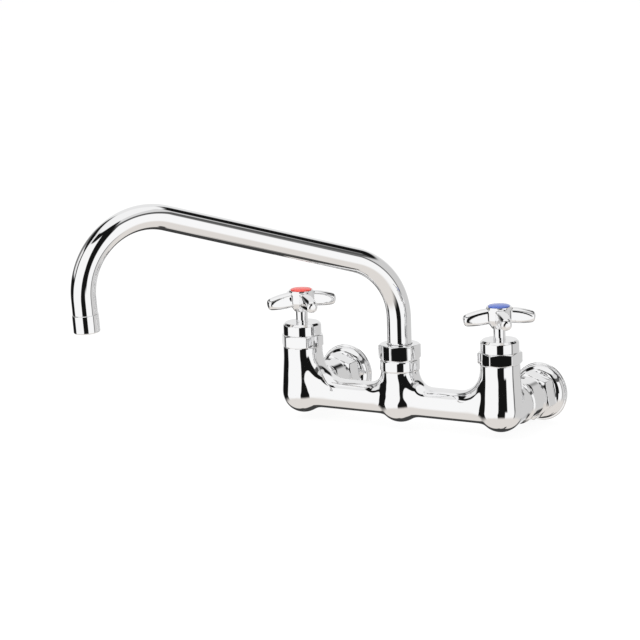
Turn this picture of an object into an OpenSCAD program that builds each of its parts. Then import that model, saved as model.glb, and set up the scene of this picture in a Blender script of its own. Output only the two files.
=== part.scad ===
// Wall-mounted two-handle mixing faucet with a bent swing spout.
// X runs along the crossbar with the hot side at -X, Y points into the wall and Z is up.
// The origin lies in the wall plane, midway between the two supply inlets.

/* [Setting out] */
// Distance between the hot and cold supply centres
centres = 203.2; // [195:0.1:220]
// Distance from the wall to the axis of the valve towers
tower_out = 81; // [79:0.5:90]
// Swing of the spout from straight out towards the hot side
spout_swing = 33; // [0:1:80]
// Turn of the hot handle's arms from the crossbar
hot_turn = 49; // [0:1:90]
// Turn of the cold handle's arms from the crossbar
cold_turn = 39; // [0:1:90]

/* [Body casting] */
// Outside diameter of the crossbar
bar_d = 28.6; // [27:0.2:29.4]
// Bore of the waterway along the crossbar
waterway_d = 13; // [11:0.5:15]
// Outside diameter of a valve tower below its rim
tower_d = 36.4; // [36:0.1:37.6]
// Height of a tower's rim above the crossbar's axis
tower_h = 42.5; // [41:0.5:48]
// Height at which a tower has drawn in from its bulb to its straight side
taper_top = 32; // [26:1:38]
// Outside diameter of the round bulb at the foot of each tower and of the column
bulb_d = 40.6; // [40:0.2:42]
// Outside diameter of the centre column
column_d = 34.6; // [34:0.1:35.6]
// Height of the centre column's shoulder above the crossbar's axis
column_h = 28.3; // [28:0.1:32]
// Outside diameter of the threaded neck above the column's shoulder
neck_d = 29.8; // [29:0.1:30]
// Length of that threaded neck
neck_h = 11.2; // [10:0.1:13]
// Radius of the swept corner between the crossbar and a tower
tower_sweep = 23.5; // [18:0.5:25]
// Radius of the swept corner between the crossbar and the column
column_sweep = 13.5; // [11:0.1:13.7]
// Radius of the hollow between a bulb and the crossbar's underside
foot_sweep = 16; // [10:0.5:20]
// Outside diameter of the boss behind each tower
boss_d = 36.6; // [36:0.2:38]
// Length of that boss from the tower's axis to its bead
boss_len = 28.5; // [27:0.5:30]
// Outside diameter of the rounded bead at the end of the boss
bead_d = 39.6; // [39:0.2:41]
// Thickness of the bead along the boss
bead_t = 4.5; // [3.5:0.1:5]
// Radius of the swept corner between a tower and its boss
boss_sweep = 6; // [4:0.5:8]
// Outside diameter of the threaded stub that a coupling nut screws on
stub_d = 31.8; // [31:0.1:32]
// Length of that stub behind the bead
stub_len = 19; // [17:0.5:20]

/* [Valve chamber] */
// Bore of the chamber above the seat
chamber_d = 21.6; // [20.5:0.1:22]
// Bore of the pocket below the seat
pocket_d = 16.8; // [15:0.1:17]
// Height of the seat web's upper face above the crossbar's axis
web_top = -1; // [-1.5:0.1:-0.5]
// Thickness of the web that the seat screws into
web_t = 5; // [4.5:0.1:5.5]
// Depth of the rounded pocket below the web
pocket_h = 8.8; // [8:0.1:9.5]
// Bore of the inlet passage through the boss
inlet_d = 18; // [16:0.2:19]
// Bore of the sloping passage from the inlet down to the pocket
feed_d = 9.2; // [8:0.1:9.4]

/* [Valve] */
// Diameter of the seat's screwed body
seat_d = 14; // [13:0.1:14.5]
// Diameter of the seat's flange
seat_flange_d = 18.4; // [17:0.1:19]
// Bore of the seat
seat_bore_d = 9.2; // [8.4:0.1:9.6]
// Height of the seat's lip above the web
seat_rise = 4; // [3:0.1:4.5]
// Diameter of the rubber seat washer
washer_d = 15.2; // [14:0.1:15.6]
// Thickness of the seat washer
washer_t = 3.1; // [2.5:0.1:3.5]
// Wall of the holder's cup around the washer
cup_wall = 0.8; // [0.6:0.1:1]
// Thickness of the holder's plate above the washer
holder_t = 2.8; // [2.4:0.1:3.2]
// Diameter of the holder's pivot in the foot of the stem
pivot_d = 8; // [7:0.1:8.4]
// Length of the holder's pivot
pivot_h = 5.5; // [5:0.1:6]
// Diameter of the washer screw's shank
washer_screw_d = 3.8; // [3:0.1:4.2]
// Diameter of the washer screw's head
washer_screw_head_d = 6.8; // [6:0.1:7.2]
// Diameter of the stem's foot and of its lifting thread
stem_thread_d = 13; // [12.4:0.1:13.4]
// Diameter of the stem through the packing
stem_d = 10.8; // [10.2:0.1:11.2]
// Diameter of the serrated end that the handle drives
spline_d = 8.4; // [7.8:0.1:8.8]
// Diameter of the bonnet's thread in the tower
bonnet_thread_d = 24.9; // [24:0.1:25.4]
// Length of the bonnet's thread below the rim
bonnet_thread_h = 18; // [16:0.5:20]
// Width across the flats of the bonnet's hexagon
bonnet_af = 36.4; // [36:0.1:38]
// Height of the bonnet's hexagon
bonnet_hex_h = 11.1; // [10:0.1:12]
// Diameter of the bonnet's neck inside the cap
bonnet_neck_d = 26.8; // [26:0.1:28]
// Height of the bonnet's neck above the hexagon
bonnet_neck_h = 6.9; // [6.5:0.1:7.4]
// Diameter of the packing chamber
packing_d = 16.8; // [16:0.1:18]
// Height of the packing
packing_h = 4; // [3:0.1:4.4]
// Thickness of the gasket under the bonnet
gasket_t = 1.1; // [0.8:0.1:1.5]
// Width of the gasket under the bonnet
gasket_w = 2.4; // [2:0.1:2.4]
// Diameter of the round cap over the packing
cap_d = 35.2; // [34:0.1:36]
// Height of the cap
cap_h = 10.9; // [10:0.1:11.6]
// Bevel round the top of the cap
cap_bevel = 2.1; // [1.5:0.1:2.6]

/* [Handle] */
// Height above the crossbar's axis at which the arms' axes meet
arm_z = 87.6; // [86:0.1:90]
// Droop of the arms towards their tips
arm_droop = 7; // [5:0.5:9]
// Reach of an arm along its own axis
arm_reach = 32.9; // [31:0.1:36]
// Height of an arm where it leaves the hub
arm_root_h = 15.6; // [14.4:0.1:15.8]
// Width of an arm between its flat sides
arm_w = 10.6; // [10:0.1:11.4]
// Radius of the long curve that draws an arm in towards its tip
arm_crown = 60; // [50:1:90]
// Length of an arm before that curve starts
arm_straight = 14; // [13:0.5:16]
// Radius of the rounded end of an arm
arm_round = 4.2; // [3.6:0.1:4.6]
// Radius of the hollow where an arm's side meets the hub
arm_sweep = 3; // [2:0.1:3.4]
// Diameter of the hub
hub_d = 22.4; // [22:0.1:24]
// Height of the hub's top above the meeting of the arms' axes
hub_up = 6.9; // [6.8:0.1:7.6]
// Depth of the hub's foot below the meeting of the arms' axes
hub_down = 12.9; // [12:0.1:13.4]
// Diameter of the index button
button_d = 19.4; // [18:0.1:19.6]
// Height of the index button's rim above the hub
button_rim = 0.7; // [0.6:0.1:1.4]
// Rise of the index button's crown above its rim
button_crown = 0.9; // [0.6:0.1:1.2]
// Diameter of the handle screw's shank
handle_screw_d = 4.8; // [4:0.1:5]
// Diameter of the handle screw's head
handle_screw_head_d = 9; // [8.4:0.1:9.4]

/* [Wall coupling] */
// Width across the flats of the coupling nut
coupling_af = 39.1; // [38:0.1:40]
// Length of the coupling nut's hexagon
coupling_hex_len = 16.1; // [14:0.1:17]
// Diameter of the coupling nut's round skirt
skirt_d = 36.8; // [36:0.1:38]
// Turn of the coupling nuts' hexagons about their axis
coupling_turn = 20; // [0:1:59]
// Thickness of the coupling washer
coupling_washer_t = 2; // [1.5:0.1:2.5]
// Thickness of the tailpiece's collar
collar_t = 4; // [3:0.1:4.5]
// Diameter of the tailpiece's collar
collar_d = 32.6; // [32.2:0.1:33]
// Outside diameter of the tailpiece
tailpiece_d = 25; // [24:0.1:25.6]
// Bore of the tailpiece ahead of its supply thread
tailpiece_bore_d = 17; // [15:0.1:18]
// Mean diameter of the supply thread in the tailpiece
supply_thread_d = 19.8; // [19:0.1:20.4]
// Length of the supply thread
supply_thread_len = 18; // [14:0.5:20]
// Setback of the tailpiece's end from the wall
tailpiece_back = 0; // [0:0.1:2]
// Outside diameter of the wall flange
flange_d = 53.4; // [52:0.1:57]
// Projection of the wall flange from the wall
flange_h = 10.4; // [9:0.1:12]
// Diameter of the flange's flat crown
flange_crown_d = 35; // [32:0.1:37]
// Thickness of the flange's rim
flange_rim = 2.2; // [1.8:0.1:2.6]
// Wall of the pressed flange
flange_wall = 1.5; // [1:0.1:2]

/* [Spout] */
// Horizontal reach of the spout from the column's axis to the outlet
spout_reach = 304.8; // [250:0.1:360]
// Outside diameter of the spout tube
tube_d = 22.2; // [21:0.1:22.4]
// Wall of the spout tube
tube_wall = 1.1; // [0.9:0.1:1.2]
// Centre-line radius of both bends
bend_r = 61.5; // [55:0.5:66]
// Slope of the long run above the horizontal
run_slope = 17.5; // [12:0.5:22]
// Height at which the upright leg starts to bend
bend_start = 75.6; // [70:0.1:90]
// Lean of the outlet leg back towards the column
outlet_lean = 3.5; // [0:0.5:6]
// Length of the outlet leg, with its collar
outlet_leg = 29; // [26:0.5:40]
// Length of the outlet collar that shows
outlet_collar_len = 16; // [12:0.5:20]
// Outside diameter of the outlet collar
outlet_collar_d = 23.4; // [22.8:0.1:24]
// Bore of the outlet collar
outlet_bore_d = 18.6; // [17:0.1:18.8]
// Length of the outlet collar's spigot in the tube
outlet_spigot_len = 7; // [5:0.5:9]
// Thickness of the flow straightener
straightener_t = 5; // [4:0.1:6]
// Diameter of one hole in the flow straightener
straightener_hole_d = 2.2; // [1.6:0.1:2.6]

/* [Swivel] */
// Diameter of the column's bore and the spout's swivel
swivel_d = 21.2; // [20.6:0.1:21.6]
// Depth of the ferrule below the top of the column's neck
ferrule_depth = 29.5; // [27:0.5:31]
// Bore of the ferrule
ferrule_bore_d = 15; // [13:0.1:15.4]
// Diameter of the ferrule's collar
ferrule_collar_d = 28.6; // [27:0.1:29]
// Thickness of the ferrule's collar
ferrule_collar_t = 3.5; // [3:0.1:4]
// Length of the ferrule's socket inside the tube
ferrule_socket = 12; // [10:0.5:14]
// Thickness of an O-ring
o_ring_t = 2; // [1.8:0.1:2.2]
// Height from the ferrule's lower end to its first O-ring
o_ring_z = 8; // [6:0.5:10]
// Distance between the two O-rings
o_ring_pitch = 7; // [5:0.5:9]
// Thickness of the swivel washer
swivel_washer_t = 1; // [0.8:0.1:1.2]
// Width across the flats of the spout nut
spout_nut_af = 35.2; // [34.8:0.1:36]
// Height of the spout nut's round skirt
spout_skirt_h = 10.3; // [8:0.1:12]
// Diameter of the spout nut's round skirt
spout_skirt_d = 36.2; // [35.6:0.1:37]
// Height of the spout nut's hexagon
spout_hex_h = 13.8; // [12:0.1:15]

/* [Fits] */
// Radial gap of a screw thread or a push fit
thread_gap = 0.05; // [0.02:0.01:0.08]
// Radial running gap of a stem, a pivot or the swivel
turn_gap = 0.06; // [0.03:0.01:0.09]
// End gap that lets a captive piece turn
end_gap = 0.1; // [0.05:0.01:0.2]
// Full lift of a valve stem
stem_lift = 3.4; // [2.5:0.1:3.6]

/* [Hidden] */
$fn = 72;

// Sides of the faucet
hot = -1;
cold = 1;

// Colours
chrome = [0.80, 0.81, 0.83];
brass = [0.80, 0.66, 0.38];
rubber = [0.16, 0.16, 0.17];
nylon = [0.90, 0.90, 0.88];
red = [0.85, 0.12, 0.10];
blue = [0.10, 0.25, 0.80];

// How far a swept surface bites into the one that it runs onto
bite = 0.05;
// How much the tube swells through its bends
bend_swell = 0.1;
// How far the tube's straight lengths run into its bends
bend_lap = 0.5;

// Radii of the casting
bar_r = bar_d / 2;
tower_r = tower_d / 2;
bulb_r = bulb_d / 2;
column_r = column_d / 2;
boss_r = boss_d / 2;
bead_r = bead_d / 2;
stub_r = stub_d / 2;
chamber_r = chamber_d / 2;
pocket_r = pocket_d / 2;
swivel_r = swivel_d / 2;

// Heights of the valve, from the seat up to the cap
seat_top = web_top + seat_rise;
washer_z = seat_top + end_gap;
plate_z = washer_z + washer_t;
foot_z = plate_z + holder_t + end_gap;
thread_z = tower_h - bonnet_thread_h;
hex_top = tower_h + bonnet_hex_h;
bonnet_top = hex_top + bonnet_neck_h;
packing_floor = hex_top + 0.9;
packing_top = packing_floor + packing_h;
cap_top = hex_top + cap_h;
bonnet_rim_bevel = 0.5;
lift_thread_z = thread_z + 4;
lift_thread_top = tower_h - stem_lift - 0.4;

// Heights of the handle
hub_foot = arm_z - hub_down;
hub_top = arm_z + hub_up;
spline_top = arm_z - 1.5;
screw_seat = spline_top + 2.4;
screw_head_h = 2.8;
button_seat = hub_top - 1;

// Stations behind the tower's axis, along the coupling
bead_end = boss_len + bead_t;
stub_end = bead_end + stub_len;
collar_front = stub_end + coupling_washer_t;
collar_back = collar_front + collar_t;
flange_front = tower_out - flange_h;
hex_front = flange_front - coupling_hex_len;
tail_end = tower_out - tailpiece_back;

// Heights of the swivel, from the column's shoulder up
neck_top = column_h + neck_h;
ferrule_foot = neck_top - ferrule_depth;
ferrule_collar_z = neck_top + swivel_washer_t + end_gap;
tube_z = ferrule_collar_z + ferrule_collar_t;
spout_nut_top = column_h + spout_skirt_h + spout_hex_h;
o_ring_heights = [ferrule_foot + o_ring_z, ferrule_foot + o_ring_z + o_ring_pitch];

// Path of the spout in its own upright plane, as [outward, up]
tube_r = tube_d / 2;
tube_bore_r = tube_r - tube_wall;
tail_bend_centre_x = spout_reach - bend_r * cos(outlet_lean) + outlet_leg * sin(outlet_lean);
run_start = [bend_r * (1 - sin(run_slope)), bend_start + bend_r * cos(run_slope)];
run_len = (tail_bend_centre_x - bend_r * sin(run_slope) - run_start.x) / cos(run_slope);
run_end = run_start + run_len * [cos(run_slope), sin(run_slope)];
tail_bend_centre = run_end + bend_r * [sin(run_slope), -cos(run_slope)];
leg_start = tail_bend_centre + bend_r * [cos(outlet_lean), -sin(outlet_lean)];
outlet_dir = [-sin(outlet_lean), -cos(outlet_lean)];
collar_start = leg_start + (outlet_leg - outlet_collar_len) * outlet_dir;

// ---------------------------------------------------------------- outlines

// Points of an arc about a centre
function arc(centre, radius, from, to, steps) =
    [for (i = [0:steps]) let (a = from + (to - from) * i / steps) centre + radius * [cos(a), sin(a)]];

// ---------------------------------------------------------------- placing

// Stands a valve piece on its tower's axis
module at_tower(side) {
    translate([side * centres / 2, -tower_out, 0])
        children();
}

// Stands a piece on the centre column's axis
module at_column() {
    translate([0, -tower_out, 0])
        children();
}

// Lays a piece of revolution along the boss, towards the wall
module along_boss() {
    rotate([-90, 0, 0])
        children();
}

// Turns the spout's upright plane to its place on the column
module on_spout() {
    at_column()
        rotate([0, 0, -90 - spout_swing])
            children();
}

// Places a piece at the outlet collar, with its own Z pointing back up the leg
module at_outlet() {
    on_spout()
        translate([collar_start.x, 0, collar_start.y])
            rotate([0, outlet_lean, 0])
                children();
}

// ---------------------------------------------------------------- shared forms

// Upright ring
module ring(outer_d, inner_d, h) {
    difference() {
        cylinder(d = outer_d, h = h);
        translate([0, 0, -1])
            cylinder(d = inner_d, h = h + 2);
    }
}

// Hexagonal prism with its corners turned off at the chosen ends
module turned_hexagon(af, h, foot_bevel, top_bevel) {
    corner = af / sqrt(3);
    flat = af / 2;
    slope = tan(30);
    foot_r = flat - foot_bevel;
    top_r = flat - top_bevel;
    intersection() {
        cylinder(r = corner, h = h, $fn = 6);
        rotate_extrude()
            polygon([
                [0, 0],
                [foot_bevel > 0 ? foot_r : corner + 1, 0],
                [corner + 1, foot_bevel > 0 ? (corner + 1 - foot_r) * slope : 0],
                [corner + 1, top_bevel > 0 ? h - (corner + 1 - top_r) * slope : h],
                [top_bevel > 0 ? top_r : corner + 1, h],
                [0, h]
            ]);
    }
}

// Upright post: a round bulb under a side that draws in a little and then runs straight
module post(post_r, taper_top, top) {
    edge = 0.3;
    sphere(r = bulb_r);
    rotate_extrude()
        polygon([
            [0, 0],
            [bulb_r - bite / 2, 0],
            [post_r, taper_top],
            [post_r, top - edge],
            [post_r - edge, top],
            [0, top]
        ]);
}

// Quarter bend that sweeps a bar's top up into the side of a post
module swept_corner(side, post_r, bar_top, pipe_r, sweep) {
    translate([side * (post_r + sweep), 0, bar_top + sweep])
        rotate([90, 0, 0])
            rotate([0, 0, side > 0 ? 180 : 270])
                rotate_extrude(angle = 90)
                    translate([pipe_r + sweep, 0])
                        circle(r = pipe_r - bite);
}

// Hollow of the casting between a bulb and one side of the crossbar
module swept_foot(side) {
    rise = bar_r + foot_sweep;
    reach = sqrt(pow(bulb_r + foot_sweep, 2) - rise * rise);
    touch = [rise, reach] * bulb_r / (bulb_r + foot_sweep);
    rotate([0, side * 90, 0])
        rotate_extrude()
            difference() {
                polygon([[0, 0], [touch.x, 0], touch, [rise, reach], [0, reach]]);
                translate([rise, reach])
                    circle(r = foot_sweep + bite);
            }
}

// ---------------------------------------------------------------- body casting

module tower_outside(side) {
    post(tower_r, taper_top, tower_h);
    swept_corner(-side, tower_r, bar_r, bar_r, tower_sweep);
    swept_foot(-side);
}

module column_outside() {
    post(column_r, column_h - 6, column_h);
    cylinder(d = neck_d, h = neck_top);
    for (side = [hot, cold]) {
        swept_corner(side, column_r, bar_r, bar_r, column_sweep);
        swept_foot(side);
    }
}

module boss_outside() {
    bead_round = 1.6;
    bead_flat = bead_r - bead_round;
    along_boss()
        rotate_extrude()
            polygon(concat(
                [[0, 0], [bulb_r - bite / 2, 0], [boss_r, boss_len - 8], [boss_r, boss_len]],
                arc([bead_flat, boss_len + bead_round], bead_round, -80, 0, 5),
                arc([bead_flat, bead_end - bead_round], bead_round, 0, 90, 6),
                [[stub_r, bead_end], [stub_r, stub_end - 0.8], [stub_r - 0.8, stub_end], [0, stub_end]]
            ));
    rotate([0, 0, 90])
        swept_corner(1, tower_r, boss_r, boss_r - 4, boss_sweep);
}

module valve_bore() {
    translate([0, 0, web_top])
        cylinder(r = chamber_r, h = tower_h);
    translate([0, 0, thread_z - 1])
        cylinder(d = bonnet_thread_d + 2 * thread_gap, h = bonnet_thread_h + 2);
    translate([0, 0, tower_h - gasket_t])
        cylinder(d = bonnet_thread_d + 2 * (gasket_w + thread_gap), h = gasket_t + 1);
    translate([0, 0, web_top - web_t - 1])
        cylinder(d = seat_d + 2 * thread_gap, h = web_t + 2);
    rotate_extrude()
        polygon([
            [0, web_top - web_t - pocket_h],
            [pocket_r - 3, web_top - web_t - pocket_h],
            [pocket_r, web_top - web_t - pocket_h + 3],
            [pocket_r, web_top - web_t],
            [0, web_top - web_t]
        ]);
}

module inlet_bore() {
    inlet_wall = 2.7;
    feed_z = web_top - web_t - feed_d / 2 - 0.4;
    inlet_end = chamber_r + inlet_wall;
    along_boss()
        translate([0, 0, inlet_end])
            cylinder(d = inlet_d, h = stub_end - inlet_end + 1);
    translate([0, 0, feed_z])
        rotate([-76, 0, 0])
            cylinder(d = feed_d, h = inlet_end + feed_d);
}

module body_casting() {
    color(chrome)
        difference() {
            union() {
                translate([-centres / 2, -tower_out, 0])
                    rotate([0, 90, 0])
                        cylinder(r = bar_r, h = centres);
                at_column()
                    column_outside();
                for (side = [hot, cold])
                    at_tower(side) {
                        tower_outside(side);
                        boss_outside();
                    }
            }
            translate([-centres / 2 + chamber_r - 0.9, -tower_out, 0])
                rotate([0, 90, 0])
                    cylinder(d = waterway_d, h = centres - 2 * chamber_r + 1.8);
            at_column() {
                sphere(r = swivel_r - turn_gap - 2);
                cylinder(r = swivel_r - turn_gap - 2, h = ferrule_foot + 1);
                translate([0, 0, ferrule_foot - 1])
                    cylinder(r = swivel_r, h = ferrule_depth + 2);
            }
            for (side = [hot, cold])
                at_tower(side) {
                    valve_bore();
                    inlet_bore();
                }
        }
}

// ---------------------------------------------------------------- valve

module seat() {
    lip_d = seat_bore_d + 3.2;
    color(brass)
        difference() {
            union() {
                translate([0, 0, web_top - web_t])
                    cylinder(d = seat_d, h = web_t);
                translate([0, 0, web_top])
                    cylinder(d = seat_flange_d, h = 2.2);
                translate([0, 0, web_top])
                    cylinder(d1 = lip_d + 2, d2 = lip_d, h = seat_rise);
            }
            translate([0, 0, web_top - web_t - 1])
                cylinder(d = seat_bore_d, h = web_t + seat_rise + 2);
            translate([0, 0, web_top - web_t - 1])
                cylinder(d = seat_bore_d * 2 / sqrt(3), h = web_t, $fn = 6);
        }
}

module seat_washer() {
    color(rubber)
        translate([0, 0, washer_z])
            ring(washer_d, washer_screw_d + 2 * thread_gap, washer_t);
}

module washer_screw() {
    head_h = 2.4;
    slot_w = 1;
    color(brass) {
        difference() {
            translate([0, 0, washer_z - head_h])
                cylinder(d = washer_screw_head_d, h = head_h);
            translate([-washer_screw_head_d, -slot_w / 2, washer_z - head_h - 1])
                cube([2 * washer_screw_head_d, slot_w, 2]);
        }
        translate([0, 0, washer_z])
            cylinder(d = washer_screw_d, h = washer_t + holder_t + pivot_h - 1.5);
    }
}

module washer_holder() {
    cup_d = washer_d + 2 * (cup_wall + thread_gap);
    color(brass)
        difference() {
            union() {
                translate([0, 0, plate_z - washer_t / 2])
                    cylinder(d = cup_d, h = holder_t + washer_t / 2);
                translate([0, 0, plate_z])
                    cylinder(d = pivot_d, h = holder_t + pivot_h);
            }
            translate([0, 0, plate_z - washer_t])
                cylinder(d = washer_d + 2 * thread_gap, h = washer_t);
            translate([0, 0, plate_z - 1])
                cylinder(d = washer_screw_d + 2 * thread_gap, h = holder_t + pivot_h);
        }
}

module stem() {
    thread_r = stem_thread_d / 2;
    foot_h = pivot_h + 3;
    waist_r = thread_r - 1.4;
    teeth = 12;
    color(chrome)
        difference() {
            rotate_extrude()
                polygon([
                    [0, foot_z],
                    [thread_r - 0.6, foot_z],
                    [thread_r, foot_z + 0.6],
                    [thread_r, foot_z + foot_h],
                    [waist_r, foot_z + foot_h + 1],
                    [waist_r, lift_thread_z - 1],
                    [thread_r, lift_thread_z + 0.4],
                    [thread_r, lift_thread_top - 0.6],
                    [stem_d / 2, lift_thread_top],
                    [stem_d / 2, hub_foot + 0.4],
                    [spline_d / 2, hub_foot + 1],
                    [spline_d / 2, spline_top],
                    [0, spline_top]
                ]);
            translate([0, 0, foot_z - 1])
                cylinder(r = pivot_d / 2 + turn_gap, h = pivot_h + 1.2);
            translate([0, 0, hub_foot + 2])
                cylinder(d = handle_screw_d + 2 * thread_gap, h = hub_down + 2);
            for (i = [0:teeth - 1])
                rotate([0, 0, i * 360 / teeth])
                    translate([spline_d / 2, 0, hub_foot + 3])
                        cylinder(d = 0.8, h = hub_down, $fn = 4);
        }
}

module bonnet(turn) {
    color(chrome)
        difference() {
            union() {
                translate([0, 0, thread_z])
                    cylinder(d = bonnet_thread_d, h = bonnet_thread_h);
                translate([0, 0, tower_h])
                    rotate([0, 0, turn])
                        turned_hexagon(bonnet_af, bonnet_hex_h, 0.3, 0.3);
                translate([0, 0, hex_top - 1])
                    cylinder(d = bonnet_neck_d, h = bonnet_neck_h + 1);
            }
            translate([0, 0, thread_z - 1])
                cylinder(d = stem_thread_d + 4, h = 4);
            translate([0, 0, thread_z + 2])
                cylinder(d = stem_thread_d + 2 * turn_gap, h = bonnet_thread_h - 2);
            translate([0, 0, tower_h - 1])
                cylinder(d = stem_d + 2 * turn_gap, h = bonnet_hex_h + 2);
            translate([0, 0, packing_floor])
                cylinder(d = packing_d, h = bonnet_neck_h + 1);
        }
}

module bonnet_gasket() {
    color(rubber)
        translate([0, 0, tower_h - gasket_t])
            ring(bonnet_thread_d + 2 * gasket_w, bonnet_thread_d + 2 * thread_gap, gasket_t);
}

module packing() {
    color(rubber)
        translate([0, 0, packing_floor])
            ring(packing_d - 2 * thread_gap, stem_d + 2 * turn_gap, packing_h);
}

module bonnet_cap() {
    gland_d = packing_d - 1;
    roof = bonnet_top + 0.2;
    color(chrome)
        difference() {
            rotate_extrude()
                polygon([
                    [0, hex_top],
                    [cap_d / 2 - 0.4, hex_top],
                    [cap_d / 2, hex_top + 0.4],
                    [cap_d / 2, cap_top - cap_bevel],
                    [cap_d / 2 - cap_bevel, cap_top],
                    [0, cap_top]
                ]);
            translate([0, 0, hex_top - 1])
                cylinder(d = stem_d + 2 * turn_gap, h = cap_h + 2);
            translate([0, 0, hex_top - 1])
                cylinder(d = bonnet_neck_d + 2 * thread_gap, h = packing_top - hex_top + 1);
            difference() {
                translate([0, 0, packing_top - 0.5])
                    cylinder(d = bonnet_neck_d + 2 * thread_gap, h = roof - packing_top + 0.5);
                translate([0, 0, packing_top - 1])
                    cylinder(d = gland_d, h = roof - packing_top + 2);
            }
        }
}

// ---------------------------------------------------------------- handle

// Arm along X: a crowned round bar between two flat sides that sweep out into the hub
module handle_arm() {
    root_r = arm_root_h / 2;
    hub_r = hub_d / 2;
    side = arm_w / 2;
    end_along = arm_reach - arm_round;
    run = end_along - arm_straight;
    inner_r = arm_crown - arm_round;
    turned = asin(run / inner_r);
    end_centre = [root_r - arm_crown + inner_r * cos(turned), end_along];
    sweep_x = sqrt(pow(hub_r, 2) - pow(side + arm_sweep, 2)) - bite;
    flare = arc([sweep_x + arm_sweep, side + arm_sweep], arm_sweep, 180, 270, 5);
    intersection() {
        rotate([0, 90, 0])
            rotate_extrude()
                polygon(concat(
                    [[0, 0], [root_r, 0]],
                    arc([root_r - arm_crown, arm_straight], arm_crown, 0, turned, 4),
                    arc(end_centre, arm_round, turned, 90, 5),
                    [[0, arm_reach]]
                ));
        translate([0, 0, -arm_root_h])
            linear_extrude(height = 2 * arm_root_h)
                polygon(concat(
                    [[0, side + arm_sweep]],
                    flare,
                    [[arm_reach + 1, side], [arm_reach + 1, -side]],
                    [for (i = [len(flare) - 1:-1:0]) [flare[i].x, -flare[i].y]],
                    [[0, -side - arm_sweep]]
                ));
    }
}

module handle(turn) {
    hub_r = hub_d / 2;
    foot_r = stem_d / 2 + 1.2;
    spline_cut = spline_d + 2 * thread_gap;
    color(chrome)
        rotate([0, 0, turn])
            difference() {
                union() {
                    rotate_extrude()
                        polygon(concat(
                            [[0, hub_foot], [foot_r, hub_foot], [foot_r + 2.4, hub_foot + 3.6]],
                            arc([hub_r - 2.2, arm_z - 5], 2.2, -50, 0, 4),
                            arc([hub_r - 1.2, hub_top - 1.2], 1.2, 0, 90, 4),
                            [[0, hub_top]]
                        ));
                    for (i = [0:3])
                        rotate([0, 0, 90 * i])
                            translate([0, 0, arm_z])
                                rotate([0, arm_droop, 0])
                                    handle_arm();
                }
                translate([0, 0, hub_foot - 1])
                    cylinder(d = spline_cut, h = spline_top - hub_foot + 1.4);
                translate([0, 0, hub_foot - 1])
                    cylinder(d = stem_d + 2 * thread_gap, h = 2);
                translate([0, 0, spline_top])
                    cylinder(d = handle_screw_d + 2 * thread_gap, h = screw_seat - spline_top + 1);
                translate([0, 0, screw_seat])
                    cylinder(d = handle_screw_head_d + 0.8, h = hub_up);
                translate([0, 0, button_seat])
                    cylinder(d = button_d + 2 * thread_gap, h = 4);
            }
}

module handle_screw() {
    color(brass)
        difference() {
            union() {
                translate([0, 0, screw_seat])
                    cylinder(d = handle_screw_head_d, h = screw_head_h);
                translate([0, 0, hub_foot + 3])
                    cylinder(d = handle_screw_d, h = screw_seat - hub_foot - 2);
            }
            translate([-handle_screw_head_d, -0.6, screw_seat + screw_head_h - 1.2])
                cube([2 * handle_screw_head_d, 1.2, 2]);
        }
}

module index_button(shade) {
    button_r = button_d / 2;
    rim_z = hub_top + button_rim;
    crown_r = (button_r * button_r + button_crown * button_crown) / (2 * button_crown);
    crown_angle = asin(button_r / crown_r);
    color(shade)
        rotate_extrude()
            polygon(concat(
                [[0, button_seat], [button_r, button_seat]],
                arc([0, rim_z + button_crown - crown_r], crown_r, 90 - crown_angle, 90, 8)
            ));
}

// ---------------------------------------------------------------- wall coupling

module coupling_washer() {
    color(rubber)
        along_boss()
            translate([0, 0, stub_end])
                ring(stub_d - 1, inlet_d, coupling_washer_t);
}

module tailpiece() {
    color(brass)
        along_boss()
            difference() {
                union() {
                    translate([0, 0, collar_front])
                        cylinder(d = collar_d, h = collar_t);
                    translate([0, 0, collar_front])
                        cylinder(d = tailpiece_d, h = tail_end - collar_front);
                }
                translate([0, 0, collar_front - 1])
                    cylinder(d = tailpiece_bore_d, h = tail_end - collar_front + 2);
                translate([0, 0, tail_end - supply_thread_len])
                    cylinder(d = supply_thread_d, h = supply_thread_len + 1);
            }
}

module coupling_nut() {
    skirt_front = bead_end + 0.5;
    skirt_r = skirt_d / 2;
    skirt_round = 1.4;
    color(chrome)
        along_boss()
            difference() {
                union() {
                    rotate_extrude()
                        polygon(concat(
                            [[0, skirt_front]],
                            arc([skirt_r - skirt_round, skirt_front + skirt_round], skirt_round, -90, 0, 6),
                            [[skirt_r, hex_front + 1], [0, hex_front + 1]]
                        ));
                    translate([0, 0, hex_front])
                        rotate([0, 0, coupling_turn])
                            turned_hexagon(coupling_af, coupling_hex_len, 1.2, 0);
                }
                translate([0, 0, skirt_front - 1])
                    cylinder(r = stub_r + thread_gap, h = stub_end - skirt_front + 1);
                translate([0, 0, stub_end - 1])
                    cylinder(d = collar_d + 2 * thread_gap, h = collar_back - stub_end + 1);
                translate([0, 0, collar_back - 1])
                    cylinder(d = tailpiece_d + 0.4, h = flange_front - collar_back + 2);
            }
}

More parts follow.
